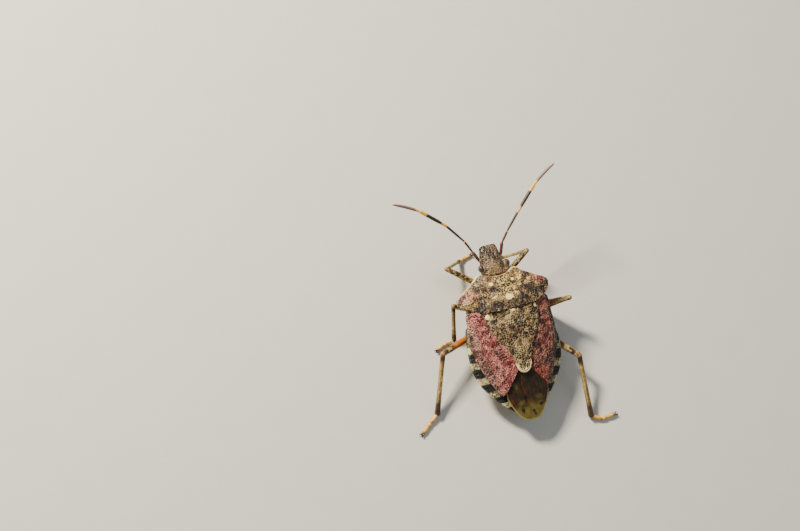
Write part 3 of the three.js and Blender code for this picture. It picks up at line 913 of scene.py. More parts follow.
@dataclass
class Head:
    """Head capsule with its middle lobe, cheeks, antenna sockets and ocelli."""

    half: Knots = (
        (0.0, -0.03), (0.32, -0.03), (0.58, 0.01), (0.74, 0.1), (0.82, 0.3), (0.88, 0.6), (0.93, 0.95),
        (0.96, 1.2), (0.98, 1.65), (1.03, 2.05), (1.06, 2.4), (1.04, 2.62),
    )
    crest: Knots = ((-0.03, -0.56), (0.3, -0.36), (1.2, -0.04), (2.0, 0.24), (2.65, 0.32))
    floor: Knots = ((-0.03, -0.74), (0.4, -0.97), (1.2, -1.22), (2.65, -1.36))
    rounding: float = 0.3
    groove_place: float = 0.3
    groove_depth: float = 0.075
    grain: Grain = Grain(0.14, 3, 0.7, 0.3)
    ocellus: tuple[float, float, float] = (0.66, 2.12, 0.08)
    ocellus_radius: float = 0.115

    def build(self) -> None:
        """Makes the capsule and the ocelli."""
        plate = symmetric(self.half, 130, 0.25, 110)
        x, s = plate.x, plate.station
        side_line = np.interp(s, [p[1] for p in self.half], [p[0] for p in self.half])
        t = np.minimum(np.abs(x) / np.maximum(side_line, 0.3), 1)
        groove_x = self.groove_place * (1 - 0.3 * ramp(s, 0.4, 1.4))
        groove = ramp(np.abs(np.abs(x) - groove_x), 0.1, 0.0) * ramp(s, 1.5, 1.2)
        lobe = ramp(np.abs(x), groove_x, groove_x * 0.4) * ramp(s, 1.6, 0.9)
        pit, net, crowd = self.grain.lay(x * 1.5, s * 0.75)
        pit = pit * ramp(plate.rim, 0.02, 0.08)
        top = along(self.crest)(s) - self.rounding * t**3 + 0.06 * lobe - self.groove_depth * groove
        top += self.grain.relief(pit, net) * 0.8
        bottom = along(self.floor)(s) + self.rounding * t**3
        under_grain = Grain(0.2, 5, 0.4)
        low_pit, low_net, _ = under_grain.lay(x, s)
        cheek = ramp(np.abs(np.abs(x) - 0.36), 0.14, 0.03) * ramp(s, 1.95, 1.5)
        bottom += -0.14 * cheek - under_grain.relief(low_pit, low_net) * (1 - cheek)
        ridge = ramp(np.abs(np.abs(x) - groove_x * 0.55), 0.09, 0.02) * ramp(s, 2.3, 1.9)
        behind_eye = spots(x, s, ((0.86, 2.2, 0.2, 0.12), (-0.86, 2.2, 0.2, 0.12)))
        stripe = ramp(np.abs(np.abs(x) - 0.33), 0.1, 0.03) * ramp(s, 1.3, 1.7)
        furrow = ramp(cells(x * 2.4, s * 0.5, 0.3, 8)[0], 0.3, 0.12) * ramp(s, 2.3, 1.8)
        wrinkle = net * (1 - pit) * mix(0.75, 0.2, crowd)
        pale = ridge * 0.3 * (1 - crowd) + stripe * 0.3 + wrinkle + behind_eye * 0.5
        gloom = crowd * 0.5 + ramp(np.abs(x), 0.5, 0.8) * 0.4 + furrow * 0.5
        masks = {
            Mask.PIT: np.maximum(pit, groove * 0.75),
            Mask.PALE: np.clip(pale, 0, 0.95),
            Mask.GLOOM: np.clip(gloom, 0, 0.85) * (1 - behind_eye),
            Mask.ROSE: ramp(cloud(x, s, 0.4, 9), 0.52, 0.7) * 0.3,
            Mask.AMBER: ramp(cloud(x, s, 0.3, 10), 0.58, 0.75) * ramp(s, 1.5, 2.2) * 0.7,
        }
        mesh = Mesh("head")
        under = {Mask.PIT: low_pit * 0.7, Mask.PALE: cheek * 0.5}
        plate.add_to(mesh, top, bottom, masks, under, 0.15, 0.55)
        for side in Side:
            socket = STANCE.body(side.value * 0.88, 1.14, -0.64)
            Ball(socket, (0.19, 0.22, 0.17), 24).add_to(mesh, {Mask.AMBER: 0.5})
            brow = STANCE.body(side.value * 0.98, 1.86, -0.16)
            Ball(brow, (0.2, 0.36, 0.27), 24).add_to(mesh, {Mask.PALE: 0.25, Mask.GLOOM: 0.3})
        dress(mesh, "head", HEAD_SKIN, "head")
        beads = Mesh("ocelli")
        for side in Side:
            place = STANCE.body(side.value * self.ocellus[0], *self.ocellus[1:])
            Ball(place, (self.ocellus_radius,) * 3, 24).add_to(beads)
        dress(beads, "eye", OCELLUS_GLOSS)


@dataclass
class Eye:
    """One bulging eye."""

    side: Side
    place: tuple[float, float, float] = (1.18, 1.8, -0.22)
    radii: tuple[float, float, float] = (0.28, 0.33, 0.29)

    def build(self) -> None:
        """Makes the eye."""
        mesh = Mesh(f"eye {self.side.word}")
        centre = STANCE.body(self.side.value * self.place[0], *self.place[1:])
        Ball(centre, self.radii, 96).add_to(mesh)
        dress(mesh, "eye", EYE_GLOSS, f"eye_{self.side.word}")


@dataclass
class Beak:
    """Four-jointed beak that lies back along the underside."""

    path: Knots = ((0.75, -1.62), (1.6, -1.78), (2.6, -1.86), (4.5, -1.9), (6.4, -1.92), (7.3, -1.9))
    radius: float = 0.19
    joints: tuple[float, ...] = (0.0, 0.24, 0.5, 0.76, 1.0)
    gap: float = 0.012

    def build(self) -> None:
        """Makes its joints, each a little narrower than the last."""
        mesh = Mesh("beak")
        whole = np.stack([STANCE.body(0.0, station, height) for station, height in self.path])
        for number, (start, end) in enumerate(zip(self.joints, self.joints[1:])):
            distance = np.linspace(start + self.gap, end - self.gap, 9) * lengths(whole)[-1]
            radii = self.radius * (1 - 0.14 * number) * np.linspace(1, 0.84, 9)
            radii[-1] *= 0.9 if number < 3 else 0.4
            tube = Tube(places_on(whole, distance), radii, 40, 32, 1.15)
            share, angle = tube.grid
            furrow = ramp(np.abs(angle - 1.5 * np.pi), 0.35, 0.0)
            dark = 0.9 * share if number == 3 else 0.0
            tube.add_to(mesh, -0.04 * furrow, {Mask.PIT: furrow * 0.7, Mask.GLOOM: dark})
        dress(mesh, "underside", BELLY_SKIN, "beak")


@dataclass
class Pronotum:
    """Broad shield behind the head, from shoulder to shoulder."""

    front: Knots = (
        (4.24, 4.05), (4.2, 3.86), (4.0, 3.65), (3.5, 3.37), (2.85, 3.0), (2.2, 2.6), (1.76, 2.26),
        (1.5, 2.24), (1.15, 2.4), (0.7, 2.54), (0.0, 2.6), (-0.7, 2.54), (-1.15, 2.4), (-1.5, 2.24),
        (-1.76, 2.26), (-2.2, 2.6), (-2.85, 3.0), (-3.5, 3.37), (-4.0, 3.65), (-4.2, 3.86),
        (-4.24, 4.05),
    )
    rear: Knots = (
        (4.24, 4.1), (4.14, 4.45), (3.7, 4.88), (3.0, 5.24), (2.4, 5.5), (1.6, 5.6), (0.0, 5.62),
        (-1.6, 5.6), (-2.4, 5.5), (-3.0, 5.24), (-3.7, 4.88), (-4.14, 4.45), (-4.24, 4.1),
    )
    half_width: Knots = (
        (2.3, 1.7), (3.02, 2.85), (3.64, 4.0), (4.0, 4.24), (4.45, 4.16), (4.95, 3.65), (5.5, 2.6),
    )
    margin: Knots = ((2.3, 0.0), (3.75, 0.2), (4.3, 0.42), (4.8, 0.66), (5.5, 1.13))
    crest: Knots = ((2.4, 0.4), (3.5, 0.85), (4.5, 1.2), (5.55, 1.45))
    chest: float = -1.6
    dots: tuple[Spot, ...] = (
        (1.11, 3.2, 0.16, 0.14), (-0.88, 3.21, 0.15, 0.13), (-1.7, 3.07, 0.09, 0.08),
        (0.0, 4.56, 0.33, 0.25),
    )
    flecks: tuple[Spot, ...] = (
        (1.3, 4.3, 0.3, 0.12), (-1.35, 3.75, 0.2, 0.1), (-2.5, 3.5, 0.35, 0.12), (0.35, 3.3, 0.12, 0.2),
        (-0.15, 3.0, 0.1, 0.24), (2.2, 4.4, 0.2, 0.1), (-0.8, 4.3, 0.2, 0.09), (0.4, 2.75, 0.08, 0.2),
    )
    dark_patches: tuple[Spot, ...] = (
        (-2.1, 4.1, 0.8, 0.3), (-1.1, 4.8, 0.5, 0.35), (1.3, 4.95, 0.6, 0.3), (2.5, 5.0, 0.6, 0.25),
        (1.0, 3.75, 0.6, 0.22), (-2.9, 4.6, 0.5, 0.3), (4.1, 4.0, 0.22, 0.35), (-4.1, 4.05, 0.3, 0.5),
        (-3.7, 3.75, 0.3, 0.1), (0.65, 3.15, 0.2, 0.14), (-0.6, 3.2, 0.16, 0.14),
    )
    rust: tuple[Spot, ...] = (
        (0.95, 2.95, 0.26, 0.14), (-0.72, 2.92, 0.26, 0.14), (1.7, 2.9, 0.28, 0.14),
        (-1.4, 2.85, 0.24, 0.12), (-2.6, 3.25, 0.45, 0.1), (0.4, 3.0, 0.1, 0.2),
    )
    grain: Grain = Grain(0.165, 11, 0.45)

    def build(self) -> None:
        """Makes the shield."""
        plate = Plate(curve(self.front, 256, 0.6), curve(self.rear, 256, 0.6), 104)
        x, s = plate.x, plate.station
        t = np.minimum(np.abs(x) / along(self.half_width)(s), 1)
        low, high = along(self.margin)(s), along(self.crest)(s)
        top = mix(low, high, 1 - t**2.2)
        bottom = mix(low - 0.42, self.chest, (1 - t**2) * ramp(s, 2.0, 3.0))
        dots = spots(x, s, self.dots)
        callus = spots(x, s, ((1.2, 3.1, 0.95, 0.36), (-1.2, 3.1, 0.95, 0.36)))
        flanks = ramp(s, 4.15, 3.9) * ramp(np.abs(x), 1.4, 1.8)
        margin = ramp(plate.rim, 0.055, 0.025) * flanks
        pit, net, crowd = self.grain.lay(x, s)
        smooth = (1 - dots) * (1 - 0.35 * callus)
        pit = pit * smooth * ramp(plate.rim, 0.03, 0.1)
        shoulder = spots(x, s, ((3.6, 3.95, 0.75, 0.5), (-3.6, 3.95, 0.75, 0.5)))
        hollow = ramp(np.abs(s - 3.66), 0.32, 0.0) * ramp(np.abs(x), 2.7, 1.8)
        top += 0.1 * shoulder + 0.05 * callus + 0.04 * dots - 0.07 * hollow
        top += 0.06 * (cloud(x, s, 0.8, 12) - 0.5) + 0.05 * (1 - crowd) * (1 - dots)
        top += self.grain.relief(pit, net)
        pink_left = blob(x, s, (3.2, 3.95), (0.8, 0.35)) * 0.6
        pink_right = blob(x, s, (-3.35, 3.7), (0.7, 0.36)) * 0.95
        pink = np.clip(pink_left + pink_right, 0, 1) * ramp(cloud(x, s, 0.3, 16), 0.3, 0.5)
        wander_x, wander_s = (0.3 * (cloud(x, s, 0.4, code) - 0.5) for code in (19, 20))
        dark = spots(x + wander_x, s + wander_s, self.dark_patches)
        light = cloud(x, s, 0.3, 15)
        centre = blob(x, s, (0.1, 3.6), (0.9, 1.4))
        outer_part = ramp(np.abs(x), 2.2, 3.6)
        rear_part = ramp(s, 4.3, 4.9) * 0.6
        dusk = ramp(cloud(x, s, 0.9, 29) + rear_part * 0.15, 0.42, 0.62) * (1 - centre * 0.6)
        dusk = np.max([dusk, outer_part * 0.7, rear_part], axis=0)
        bright = mix(1.0, 0.3, crowd) * ramp(light, 0.25, 0.65) + centre * 0.45
        wrinkle = net * (1 - pit) * np.clip(bright, 0, 1) * (1 - 0.45 * dusk)
        rust = spots(x, s, self.rust) * ramp(cloud(x, s, 0.2, 17), 0.3, 0.5)
        collar = ramp(plate.rim, 0.1, 0.04) * ramp(s, 2.75, 2.65) * 0.5
        flecks = spots(x, s, self.flecks) * (1 - pit)
        pale = dots * 1.3 + margin * 0.35 + wrinkle * (1 - dark * 0.75) + collar + flecks * 0.5
        gloom = crowd * 0.4 + dark * 0.7 + callus * 0.2 + dusk * 0.4 + ramp(s, 5.35, 5.6) * 0.4
        clear = (1 - dots) * (1 - rust) * (1 - margin * 0.6) * (1 - pink * 0.5)
        masks = {
            Mask.PIT: pit * mix(0.7, 1.0, crowd),
            Mask.PALE: np.clip(pale, 0, 1),
            Mask.GLOOM: np.clip(gloom, 0, 0.92) * clear,
            Mask.ROSE: np.clip(pink + flanks * ramp(np.abs(x), 2.2, 3.4) * 0.35, 0, 1),
            Mask.AMBER: rust * 0.9,
        }
        under_grain = Grain(0.24, 18, 0.5)
        low_pit, low_net, low_crowd = under_grain.lay(wall(x, low - bottom), s)
        bottom -= under_grain.relief(low_pit, low_net)
        under = {Mask.PIT: low_pit * 0.8, Mask.PALE: low_net * 0.3, Mask.GLOOM: low_crowd * 0.2}
        mesh = Mesh("pronotum")
        plate.add_to(mesh, top, bottom, masks, under, 0.13, 0.35)
        dress(mesh, "shield", SHIELD_SKIN, "pronotum")


@dataclass
class Scutellum:
    """Triangular plate between the wings."""

    half: Knots = (
        (2.2, 5.45), (2.45, 5.68), (2.52, 6.0), (2.38, 6.5), (2.12, 7.2), (1.74, 7.9), (1.32, 8.6),
        (1.0, 9.2), (0.82, 9.75), (0.72, 10.2), (0.6, 10.6), (0.38, 10.88), (0.12, 11.0),
    )
    crest: Knots = ((5.4, 1.36), (6.4, 1.34), (7.5, 1.26), (9.5, 1.02), (11.0, 0.8))
    arch: float = 0.06
    dots: tuple[Spot, ...] = (
        (2.3, 5.78, 0.17, 0.24), (-2.14, 5.74, 0.13, 0.2), (0.05, 5.72, 0.18, 0.12),
    )
    dark_spots: tuple[Spot, ...] = (
        (-0.5, 5.75, 0.32, 0.2), (-0.22, 6.8, 0.4, 0.3), (0.6, 7.05, 0.32, 0.3),
        (0.08, 10.42, 0.24, 0.24), (1.95, 6.3, 0.28, 0.25), (-1.95, 6.1, 0.2, 0.3),
    )
    grain: Grain = Grain(0.16, 21, 0.55)

    def build(self) -> None:
        """Makes the plate."""
        plate = symmetric(self.half, 176, 0.5, 128)
        x, s = plate.x, plate.station
        top = along(self.crest)(s) - self.arch * x * x
        dots = spots(x, s, self.dots)
        wander = 0.25 * (cloud(x, s, 0.3, 26) - 0.5)
        dark = spots(x + wander, s - wander, self.dark_spots) * ramp(cloud(x, s, 0.2, 27), 0.25, 0.45)
        tip = ramp(s, 9.7, 10.4)
        rim = ramp(plate.rim, 0.17, 0.11) * ramp(s, 9.9, 10.4)
        side_line = ramp(plate.rim, 0.09, 0.04) * ramp(s, 5.9, 6.3) * ramp(s, 9.8, 9.2) * 0.7
        pit, net, crowd = self.grain.lay(x, s)
        crowd = crowd * (1 - 0.7 * tip)
        pit = pit * (1 - dots) * (1 - rim) * ramp(plate.rim, 0.03, 0.09)
        top += 0.04 * dots + 0.06 * (cloud(x, s, 0.8, 22) - 0.5) + 0.03 * (1 - crowd)
        top += self.grain.relief(pit, net)
        top -= 0.06 * blob(x, s, (0.08, 10.4), (0.3, 0.35))
        light = cloud(x, s, 0.3, 23) + 0.25 * tip
        wrinkle = net * (1 - pit) * mix(1.0, 0.35, crowd) * ramp(light, 0.22, 0.62)
        masks = {
            Mask.PIT: pit * mix(0.75, 1.0, crowd),
            Mask.PALE: np.clip(dots * 1.2 + rim + wrinkle * mix(0.85, 1.0, tip), 0, 1) * (1 - dark * 0.7),
            Mask.GLOOM: np.clip(dark * 0.75 + crowd * 0.4 + side_line, 0, 0.9) * (1 - dots) * (1 - rim),
            Mask.AMBER: ramp(cloud(x, s, 0.3, 25), 0.45, 0.7) * ramp(s, 6.4, 7.2) * ramp(s, 9.4, 8.4) * 0.4,
        }
        mesh = Mesh("scutellum")
        plate.add_to(mesh, top, top - mix(0.32, 0.22, tip), masks, {}, 0.09, 0.3)
        dress(mesh, "shield", SCUTELLUM_SKIN, "scutellum")


DECK_CREST: Knots = (
    (4.5, 0.4), (5.5, 0.35), (8.0, 0.2), (10.9, -0.15), (12.5, -0.42), (14.3, -0.72), (15.2, -0.86),
)


def deck(x: Array, station: Array) -> Array:
    """Height of the surface that the wings lie over."""
    return along(DECK_CREST)(station) - 0.037 * x * x


@dataclass
class Wing:
    """One folded wing: the leathery corium and the membrane behind it."""

    side: Side
    outer: Knots = (
        (3.55, 4.95), (3.86, 5.35), (3.9, 6.0), (3.93, 7.0), (3.96, 7.9), (3.82, 9.0), (3.44, 10.1),
        (3.12, 10.85), (2.76, 11.6), (2.4, 12.25), (2.1, 12.48),
    )
    inner: Knots = (
        (2.35, 5.0), (2.3, 5.9), (2.15, 6.6), (1.85, 7.3), (1.2, 8.5), (0.8, 9.3), (0.55, 10.0),
        (0.55, 10.55), (0.92, 11.15), (1.42, 11.8), (1.78, 12.22), (1.98, 12.46),
    )
    vein_inset: Knots = ((5.0, 0.25), (6.5, 0.55), (8.0, 0.72), (9.5, 0.72), (11.0, 0.5), (12.3, 0.15))
    membrane_outer: Knots = (
        (0.7, 10.2), (1.2, 10.9), (1.6, 11.6), (1.9, 12.3), (1.93, 12.7), (1.81, 13.15), (1.6, 13.62),
        (1.32, 14.12), (0.96, 14.6), (0.5, 14.92), (0.2, 14.99),
    )
    overlap: Knots = (
        (10.0, 0.1), (10.9, 0.2), (11.35, 0.45), (11.7, 0.56), (12.25, 0.5), (13.05, 0.35), (13.5, 0.2),
        (14.3, 0.05), (15.2, 0.0),
    )
    dark_marks: tuple[Spot, ...] = (
        (-0.2, 14.26, 0.1, 0.16), (-0.32, 14.5, 0.09, 0.12), (-0.98, 13.84, 0.24, 0.12),
        (0.7, 14.08, 0.14, 0.2), (0.33, 13.15, 0.11, 0.38),
    )
    rust_spots: tuple[Spot, ...] = (
        (1.5, 13.15, 0.2, 0.25), (1.2, 13.6, 0.25, 0.15), (-0.98, 14.2, 0.14, 0.28),
        (0.5, 14.35, 0.3, 0.12), (-0.1, 13.5, 0.3, 0.12),
    )
    olive_spots: tuple[Spot, ...] = (
        (1.05, 11.95, 0.2, 0.22), (-0.9, 13.2, 0.3, 0.2), (0.85, 13.4, 0.2, 0.2),
    )
    lift: float = 0.3
    thickness: float = 0.54
    membrane_rise: float = 0.42
    membrane_steps: tuple[float, float] = (0.05, -0.03)
    clavus: float = 0.36
    veins: int = 6

    def build(self) -> None:
        """Makes the corium and the membrane."""
        self._corium()
        self._membrane()

    def _flip(self, points: Knots) -> Knots:
        """Points on this wing's side."""
        return points if self.side is Side.LEFT else mirrored(points)

    @staticmethod
    def _reach(station: Array, edge: Knots) -> Array:
        """Distance of an edge from the midline at stations."""
        line = curve(edge, 200)
        return np.interp(station, line[:, 1], line[:, 0])

    def _corium(self) -> None:
        """Makes the leathery part."""
        plate = Plate(curve(self._flip(self.outer), 250, 0.4), curve(self._flip(self.inner), 250, 0.4), 100)
        x, s = plate.x, plate.station
        # Painted shade: the right wing gets the darker copy of the skin, much stronger dark patches and a
        # dimmer pale net.
        shaded_wing = self.side is Side.RIGHT
        seed = 41 if shaded_wing else 31
        from_edge = self._reach(s, self.outer) - np.abs(x)
        from_inner = np.abs(x) - self._reach(s, self.inner)
        vein_place = along(self.vein_inset)(s)
        vein = ramp(np.abs(from_edge - vein_place), 0.07, 0.0) * ramp(s, 5.2, 5.8) * ramp(s, 11.5, 8.5)
        strip = ramp(from_edge + 0.2 * (cloud(x, s, 0.3, 36) - 0.5), vein_place + 0.05, vein_place - 0.1)
        behind = ramp(s, 9.7, 9.1)
        suture = ramp(np.abs(from_inner - self.clavus), 0.06, 0.0) * behind
        clavus = ramp(from_inner, self.clavus + 0.03, self.clavus - 0.05) * behind
        rear = ramp(plate.rim, 0.08, 0.03) * ramp(s, 10.4, 10.8) * ramp(from_edge, 0.3, 0.5)
        grain = Grain(0.14, seed, 0.7, 0.3, 0.035)
        pit, net, crowd = grain.lay(x, s)
        pit = pit * (1 - vein) * (1 - rear) * ramp(plate.rim, 0.02, 0.07)
        nearest, second, _ = cells(x, s * 0.6, 0.42, seed + 1)
        branch = ramp(second - nearest, 0.14, 0.0) * (1 - strip) * (1 - clavus)
        top = deck(x, s) + self.lift + self.thickness - 0.34 * ramp(from_edge, 0.75, 0.0)
        bottom = np.minimum(deck(x, s) + self.lift, top - 0.12)
        top += 0.05 * vein - 0.03 * suture + grain.relief(pit, net) + 0.02 * branch
        top += 0.05 * (cloud(x, s, 0.7, seed + 2) - 0.5)
        light = cloud(x, s, 0.3, seed + 4)
        patches = cloud(x, s, 0.8, seed + 3)
        centre = blob(x, s, (self.side.value * 2.3, 8.9), (0.7, 0.9))
        speck = blob(x, s, (self.side.value * 2.3, 10.7), (0.5, 0.4))
        # Painted shade: the right wing's dark patches and blotches are much stronger than the left's.
        strength = (0.75, 0.5) if shaded_wing else (0.2, 0.25)
        gloom = ramp(patches, 0.5, 0.62) * strength[0] + (centre + speck) * strength[1] + crowd * 0.3
        gloom += strip * mix(0.25, 0.5, ramp(s, 8.2, 7.2))
        wrinkle = np.maximum(net * (1 - pit) * mix(1.0, 0.45, crowd), branch * 0.7) * ramp(light, 0.24, 0.6)
        front = ramp(s, 6.3, 5.3)
        masks = {
            Mask.PIT: np.clip(pit * mix(0.75, 1.0, crowd) + suture * 0.5, 0, 1),
            Mask.ROSE: np.clip((1 - strip * 0.85) * (1 - clavus * 0.85) * 0.9 + vein * 0.7 + rear, 0, 1),
            Mask.AMBER: np.clip(clavus * 0.8 + front * 0.5 + vein * front, 0, 1),
            Mask.GLOOM: np.clip(gloom, 0, 0.88) * (1 - rear) * (1 - vein * 0.5),
            Mask.PALE: np.clip(wrinkle * (0.65 if shaded_wing else 0.8), 0, 0.95) * (1 - rear) * (1 - vein),
        }
        mesh = Mesh(f"corium {self.side.word}")
        plate.add_to(mesh, top, bottom, masks, {}, 0.09, 0.4)
        dress(mesh, "wing", SHADED_WING_SKIN if shaded_wing else WING_SKIN, f"wing_{self.side.word}")

    def _membrane(self) -> None:
        """Makes the membrane, the right one over the left."""
        over = self.side is Side.RIGHT
        station = np.linspace(10.2, 14.97, 12)
        reach = along(self.overlap)(station) if over else -0.25 * (1 - (station - 10.2) / 5)
        inner_edge = tuple((float(x), float(s)) for x, s in zip(reach, station))
        plate = Plate(curve(self._flip(self.membrane_outer), 180, 0.3), curve(inner_edge, 180, 0.3), 84)
        x, s = plate.x, plate.station
        share = plate.share[None, :] * np.ones(x.shape)
        inner_part = ramp(share, 0.86, 1.0)
        top = deck(x, s) + self.lift + self.membrane_rise + self.membrane_steps[0 if over else 1]
        fan = share * (self.veins + 0.6) + 0.15 * np.sin(s * 1.7)
        offset = np.abs(fan - np.round(fan))
        vein = ramp(offset, 0.16, 0.02) * ramp(s, 11.3, 12.0) * (fan > 0.5) * (1 - inner_part)
        top = top + 0.006 * vein + 0.04 * (cloud(x, s, 0.6, 52) - 0.5) + 0.02 * inner_part * over
        wave = cloud(x, s, 0.7, 53) - 0.5
        ripple = 0.4 * (cloud(x, s, 0.25, 54) - 0.5)
        stain = cloud(x, s, 0.35, 55)
        tip = ramp(s + 0.8 * wave + 0.7 * (stain - 0.5) - 0.1 * np.abs(x + 0.2) ** 3, 13.1, 14.1)
        rim = ramp(plate.rim, 0.13, 0.05) * ramp(s, 12.4, 13.2) * ramp(share, 0.95, 0.85)
        olive = spots(x + ripple, s - ripple, self.olive_spots)
        rust = spots(x + ripple, s + ripple, self.rust_spots) * mix(0.5, 1.0, stain)
        dark = spots(x + 0.5 * ripple, s - 0.5 * ripple, self.dark_marks)
        fold = ramp(share, 0.93, 0.99) * ramp(s, 11.5, 11.9) * ramp(s, 13.5, 13.1) * over
        root = ramp(share, 0.1, 0.0) * ramp(s, 12.9, 12.2)
        masks = {
            Mask.AMBER: np.clip(tip * mix(0.35, 0.95, stain) + olive * 0.25 + vein * 0.1 * (1 - tip), 0, 1),
            Mask.PALE: rim * 0.55,
            Mask.ROSE: np.clip(rust * (1 - tip * 0.5) * 0.7 + root + fold * 0.9, 0, 1),
            Mask.GLOOM: np.clip(dark * 0.95 + ramp(share, 0.985, 1.0) * over * 0.7, 0, 1),
        }
        mesh = Mesh(f"membrane {self.side.word}")
        plate.add_to(mesh, top, top - 0.05, masks, {Mask.GLOOM: 1.0}, 0.03, 0.4)
        dress(mesh, "wing", WING_GLASS)


@dataclass
class Thorax:
    """Underside between the legs' sockets."""

    half: Knots = (
        (0.9, 2.6), (1.9, 2.75), (2.6, 3.3), (3.1, 4.0), (3.4, 4.8), (3.5, 5.6), (3.5, 6.4), (3.3, 7.2),
        (2.8, 7.9), (2.0, 8.2),
    )
    sockets: tuple[tuple[float, float], ...] = ((1.1, 3.4), (1.5, 5.3), (1.6, 6.7))
    seams: tuple[float, ...] = (4.35, 6.0)
    grain: Grain = Grain(0.22, 61, 0.5)

    def build(self) -> None:
        """Makes the plate."""
        plate = symmetric(self.half, 110, 0.0, 150)
        x, s = plate.x, plate.station
        half = along(tuple((station, width) for width, station in self.half))(s)
        t = np.minimum(np.abs(x) / half, 1)
        bottom = mix(-0.75, -1.75, (1 - t**2) ** 0.9)
        places = tuple((side.value * px, ps, 0.55, 0.5) for px, ps in self.sockets for side in Side)
        socket = spots(x, s, places)
        lines = [ramp(np.abs(s - line - 0.12 * (np.abs(x) - 2)), 0.06, 0.0) for line in self.seams]
        seam = np.max(lines, axis=0)
        furrow = ramp(np.abs(x), 0.32, 0.12)
        pit, net, crowd = self.grain.lay(wall(x, -bottom), s)
        bottom += 0.16 * socket + 0.06 * seam + 0.12 * furrow - self.grain.relief(pit, net)
        masks = {
            Mask.PIT: np.clip(pit * 0.8 + seam * 0.7, 0, 1),
            Mask.GLOOM: np.maximum(socket * 0.6, crowd * 0.25),
            Mask.PALE: net * 0.35,
        }
        top = np.maximum(deck(x, s), bottom + 0.3)
        mesh = Mesh("thorax underside")
        plate.add_to(mesh, top, bottom, {}, masks, 0.25, 0.8)
        dress(mesh, "underside", BELLY_SKIN, "thorax")


@dataclass
class Abdomen:
    """Abdomen, with its banded side margin and segmented belly."""

    half: Knots = (
        (3.2, 6.0), (3.72, 6.35), (3.92, 7.0), (4.09, 8.0), (4.22, 9.0), (4.15, 10.0), (3.82, 11.05),
        (3.24, 12.0), (2.62, 12.75), (2.0, 13.4), (1.32, 13.95), (0.7, 14.27), (0.3, 14.38),
        (0.1, 14.4),
    )
    belly: Knots = (
        (6.0, -1.9), (8.2, -2.12), (9.5, -2.2), (11.0, -1.97), (12.5, -1.57), (14.0, -1.2),
        (15.0, -1.0),
    )
    floor: Knots = ((6.0, -0.9), (8.0, -0.72), (9.5, -0.5), (14.0, -0.42))
    bands: Knots = (
        (5.6, -2.0), (6.85, -1.0), (8.13, 0.0), (9.48, 1.0), (10.88, 2.0), (12.18, 3.0), (13.28, 4.0),
        (14.3, 5.0),
    )
    spiracles: tuple[float, ...] = (8.13, 9.48, 10.88, 12.18)
    spiracle_place: float = 0.74
    grain: Grain = Grain(0.15, 71, 0.6)
    belly_grain: Grain = Grain(0.24, 72, 0.4)

    def build(self) -> None:
        """Makes the abdomen as one closed form."""
        plate = symmetric(self.half, 210, 0.3, 200, 0.7)
        x, s = plate.x, plate.station
        half = along(tuple((station, width) for width, station in self.half))(s)
        t = np.minimum(np.abs(x) / np.maximum(half, 0.05), 1)
        phase = along(self.bands)(s)
        offset = np.abs(phase - np.round(phase))
        pale_block = ramp(offset + 0.1 * (cloud(x, s, 0.3, 74) - 0.5), 0.24, 0.18) * ramp(s, 7.5, 7.8)
        joint = ramp(0.5 - offset, 0.05, 0.0)
        border = ramp(plate.rim, 1.0, 0.2)
        outermost = ramp(plate.rim, 0.14, 0.06)
        pit, net, _ = self.grain.lay(x, s)
        top = np.minimum(np.full(x.shape, 0.06), deck(x, s) + 0.26)
        top += border * (0.03 * (1 - offset * 2) - 0.05 * joint) + self.grain.relief(pit, net) * border
        bottom = mix(along(self.floor)(s), along(self.belly)(s), (1 - t**2) ** 0.9)
        bottom = mix(bottom, top - 0.2, 0.85 * ramp(s, 12.9, 14.5))
        lines = joint * ramp(s, 7.5, 8.0)
        low_pit, low_net, low_crowd = self.belly_grain.lay(wall(x, -bottom), s)
        away = [np.hypot(np.abs(x) - half * self.spiracle_place, s - middle) for middle in self.spiracles]
        spiracle = ramp(np.min(away, axis=0), 0.12, 0.06)
        bottom += 0.05 * lines + 0.03 * spiracle - self.belly_grain.relief(low_pit, low_net)
        light = ramp(cloud(x, s, 0.25, 73), 0.35, 0.6)
        pale = pale_block * (0.3 + 0.35 * light + 0.4 * outermost) + net * ramp(s, 8.0, 7.5) * 0.4
        masks = {
            Mask.PIT: pit * mix(0.9, 0.45, outermost),
            Mask.GLOOM: (1 - pale_block) * (1 - 0.2 * outermost),
            Mask.PALE: np.clip(pale, 0, 1),
            Mask.ROSE: (1 - light) * pale_block * 0.5,
        }
        edge_mark = (1 - pale_block) * ramp(t, 0.86, 0.95)
        under = {
            Mask.PIT: np.clip(low_pit * 0.7 + spiracle, 0, 1),
            Mask.GLOOM: np.max([edge_mark * 0.9, low_crowd * 0.12, lines * 0.6], axis=0),
            Mask.PALE: np.clip(low_net * 0.25 + ramp(t, 0.8, 1.0) * 0.4, 0, 1) * (1 - edge_mark),
            Mask.AMBER: 0.85 * ramp(t, 0.96, 0.8),
        }
        mesh = Mesh("abdomen")
        plate.add_to(mesh, top, bottom, masks, under, 0.12, 0.7)
        dress(mesh, "abdomen", MARGIN_SKIN, "abdomen")


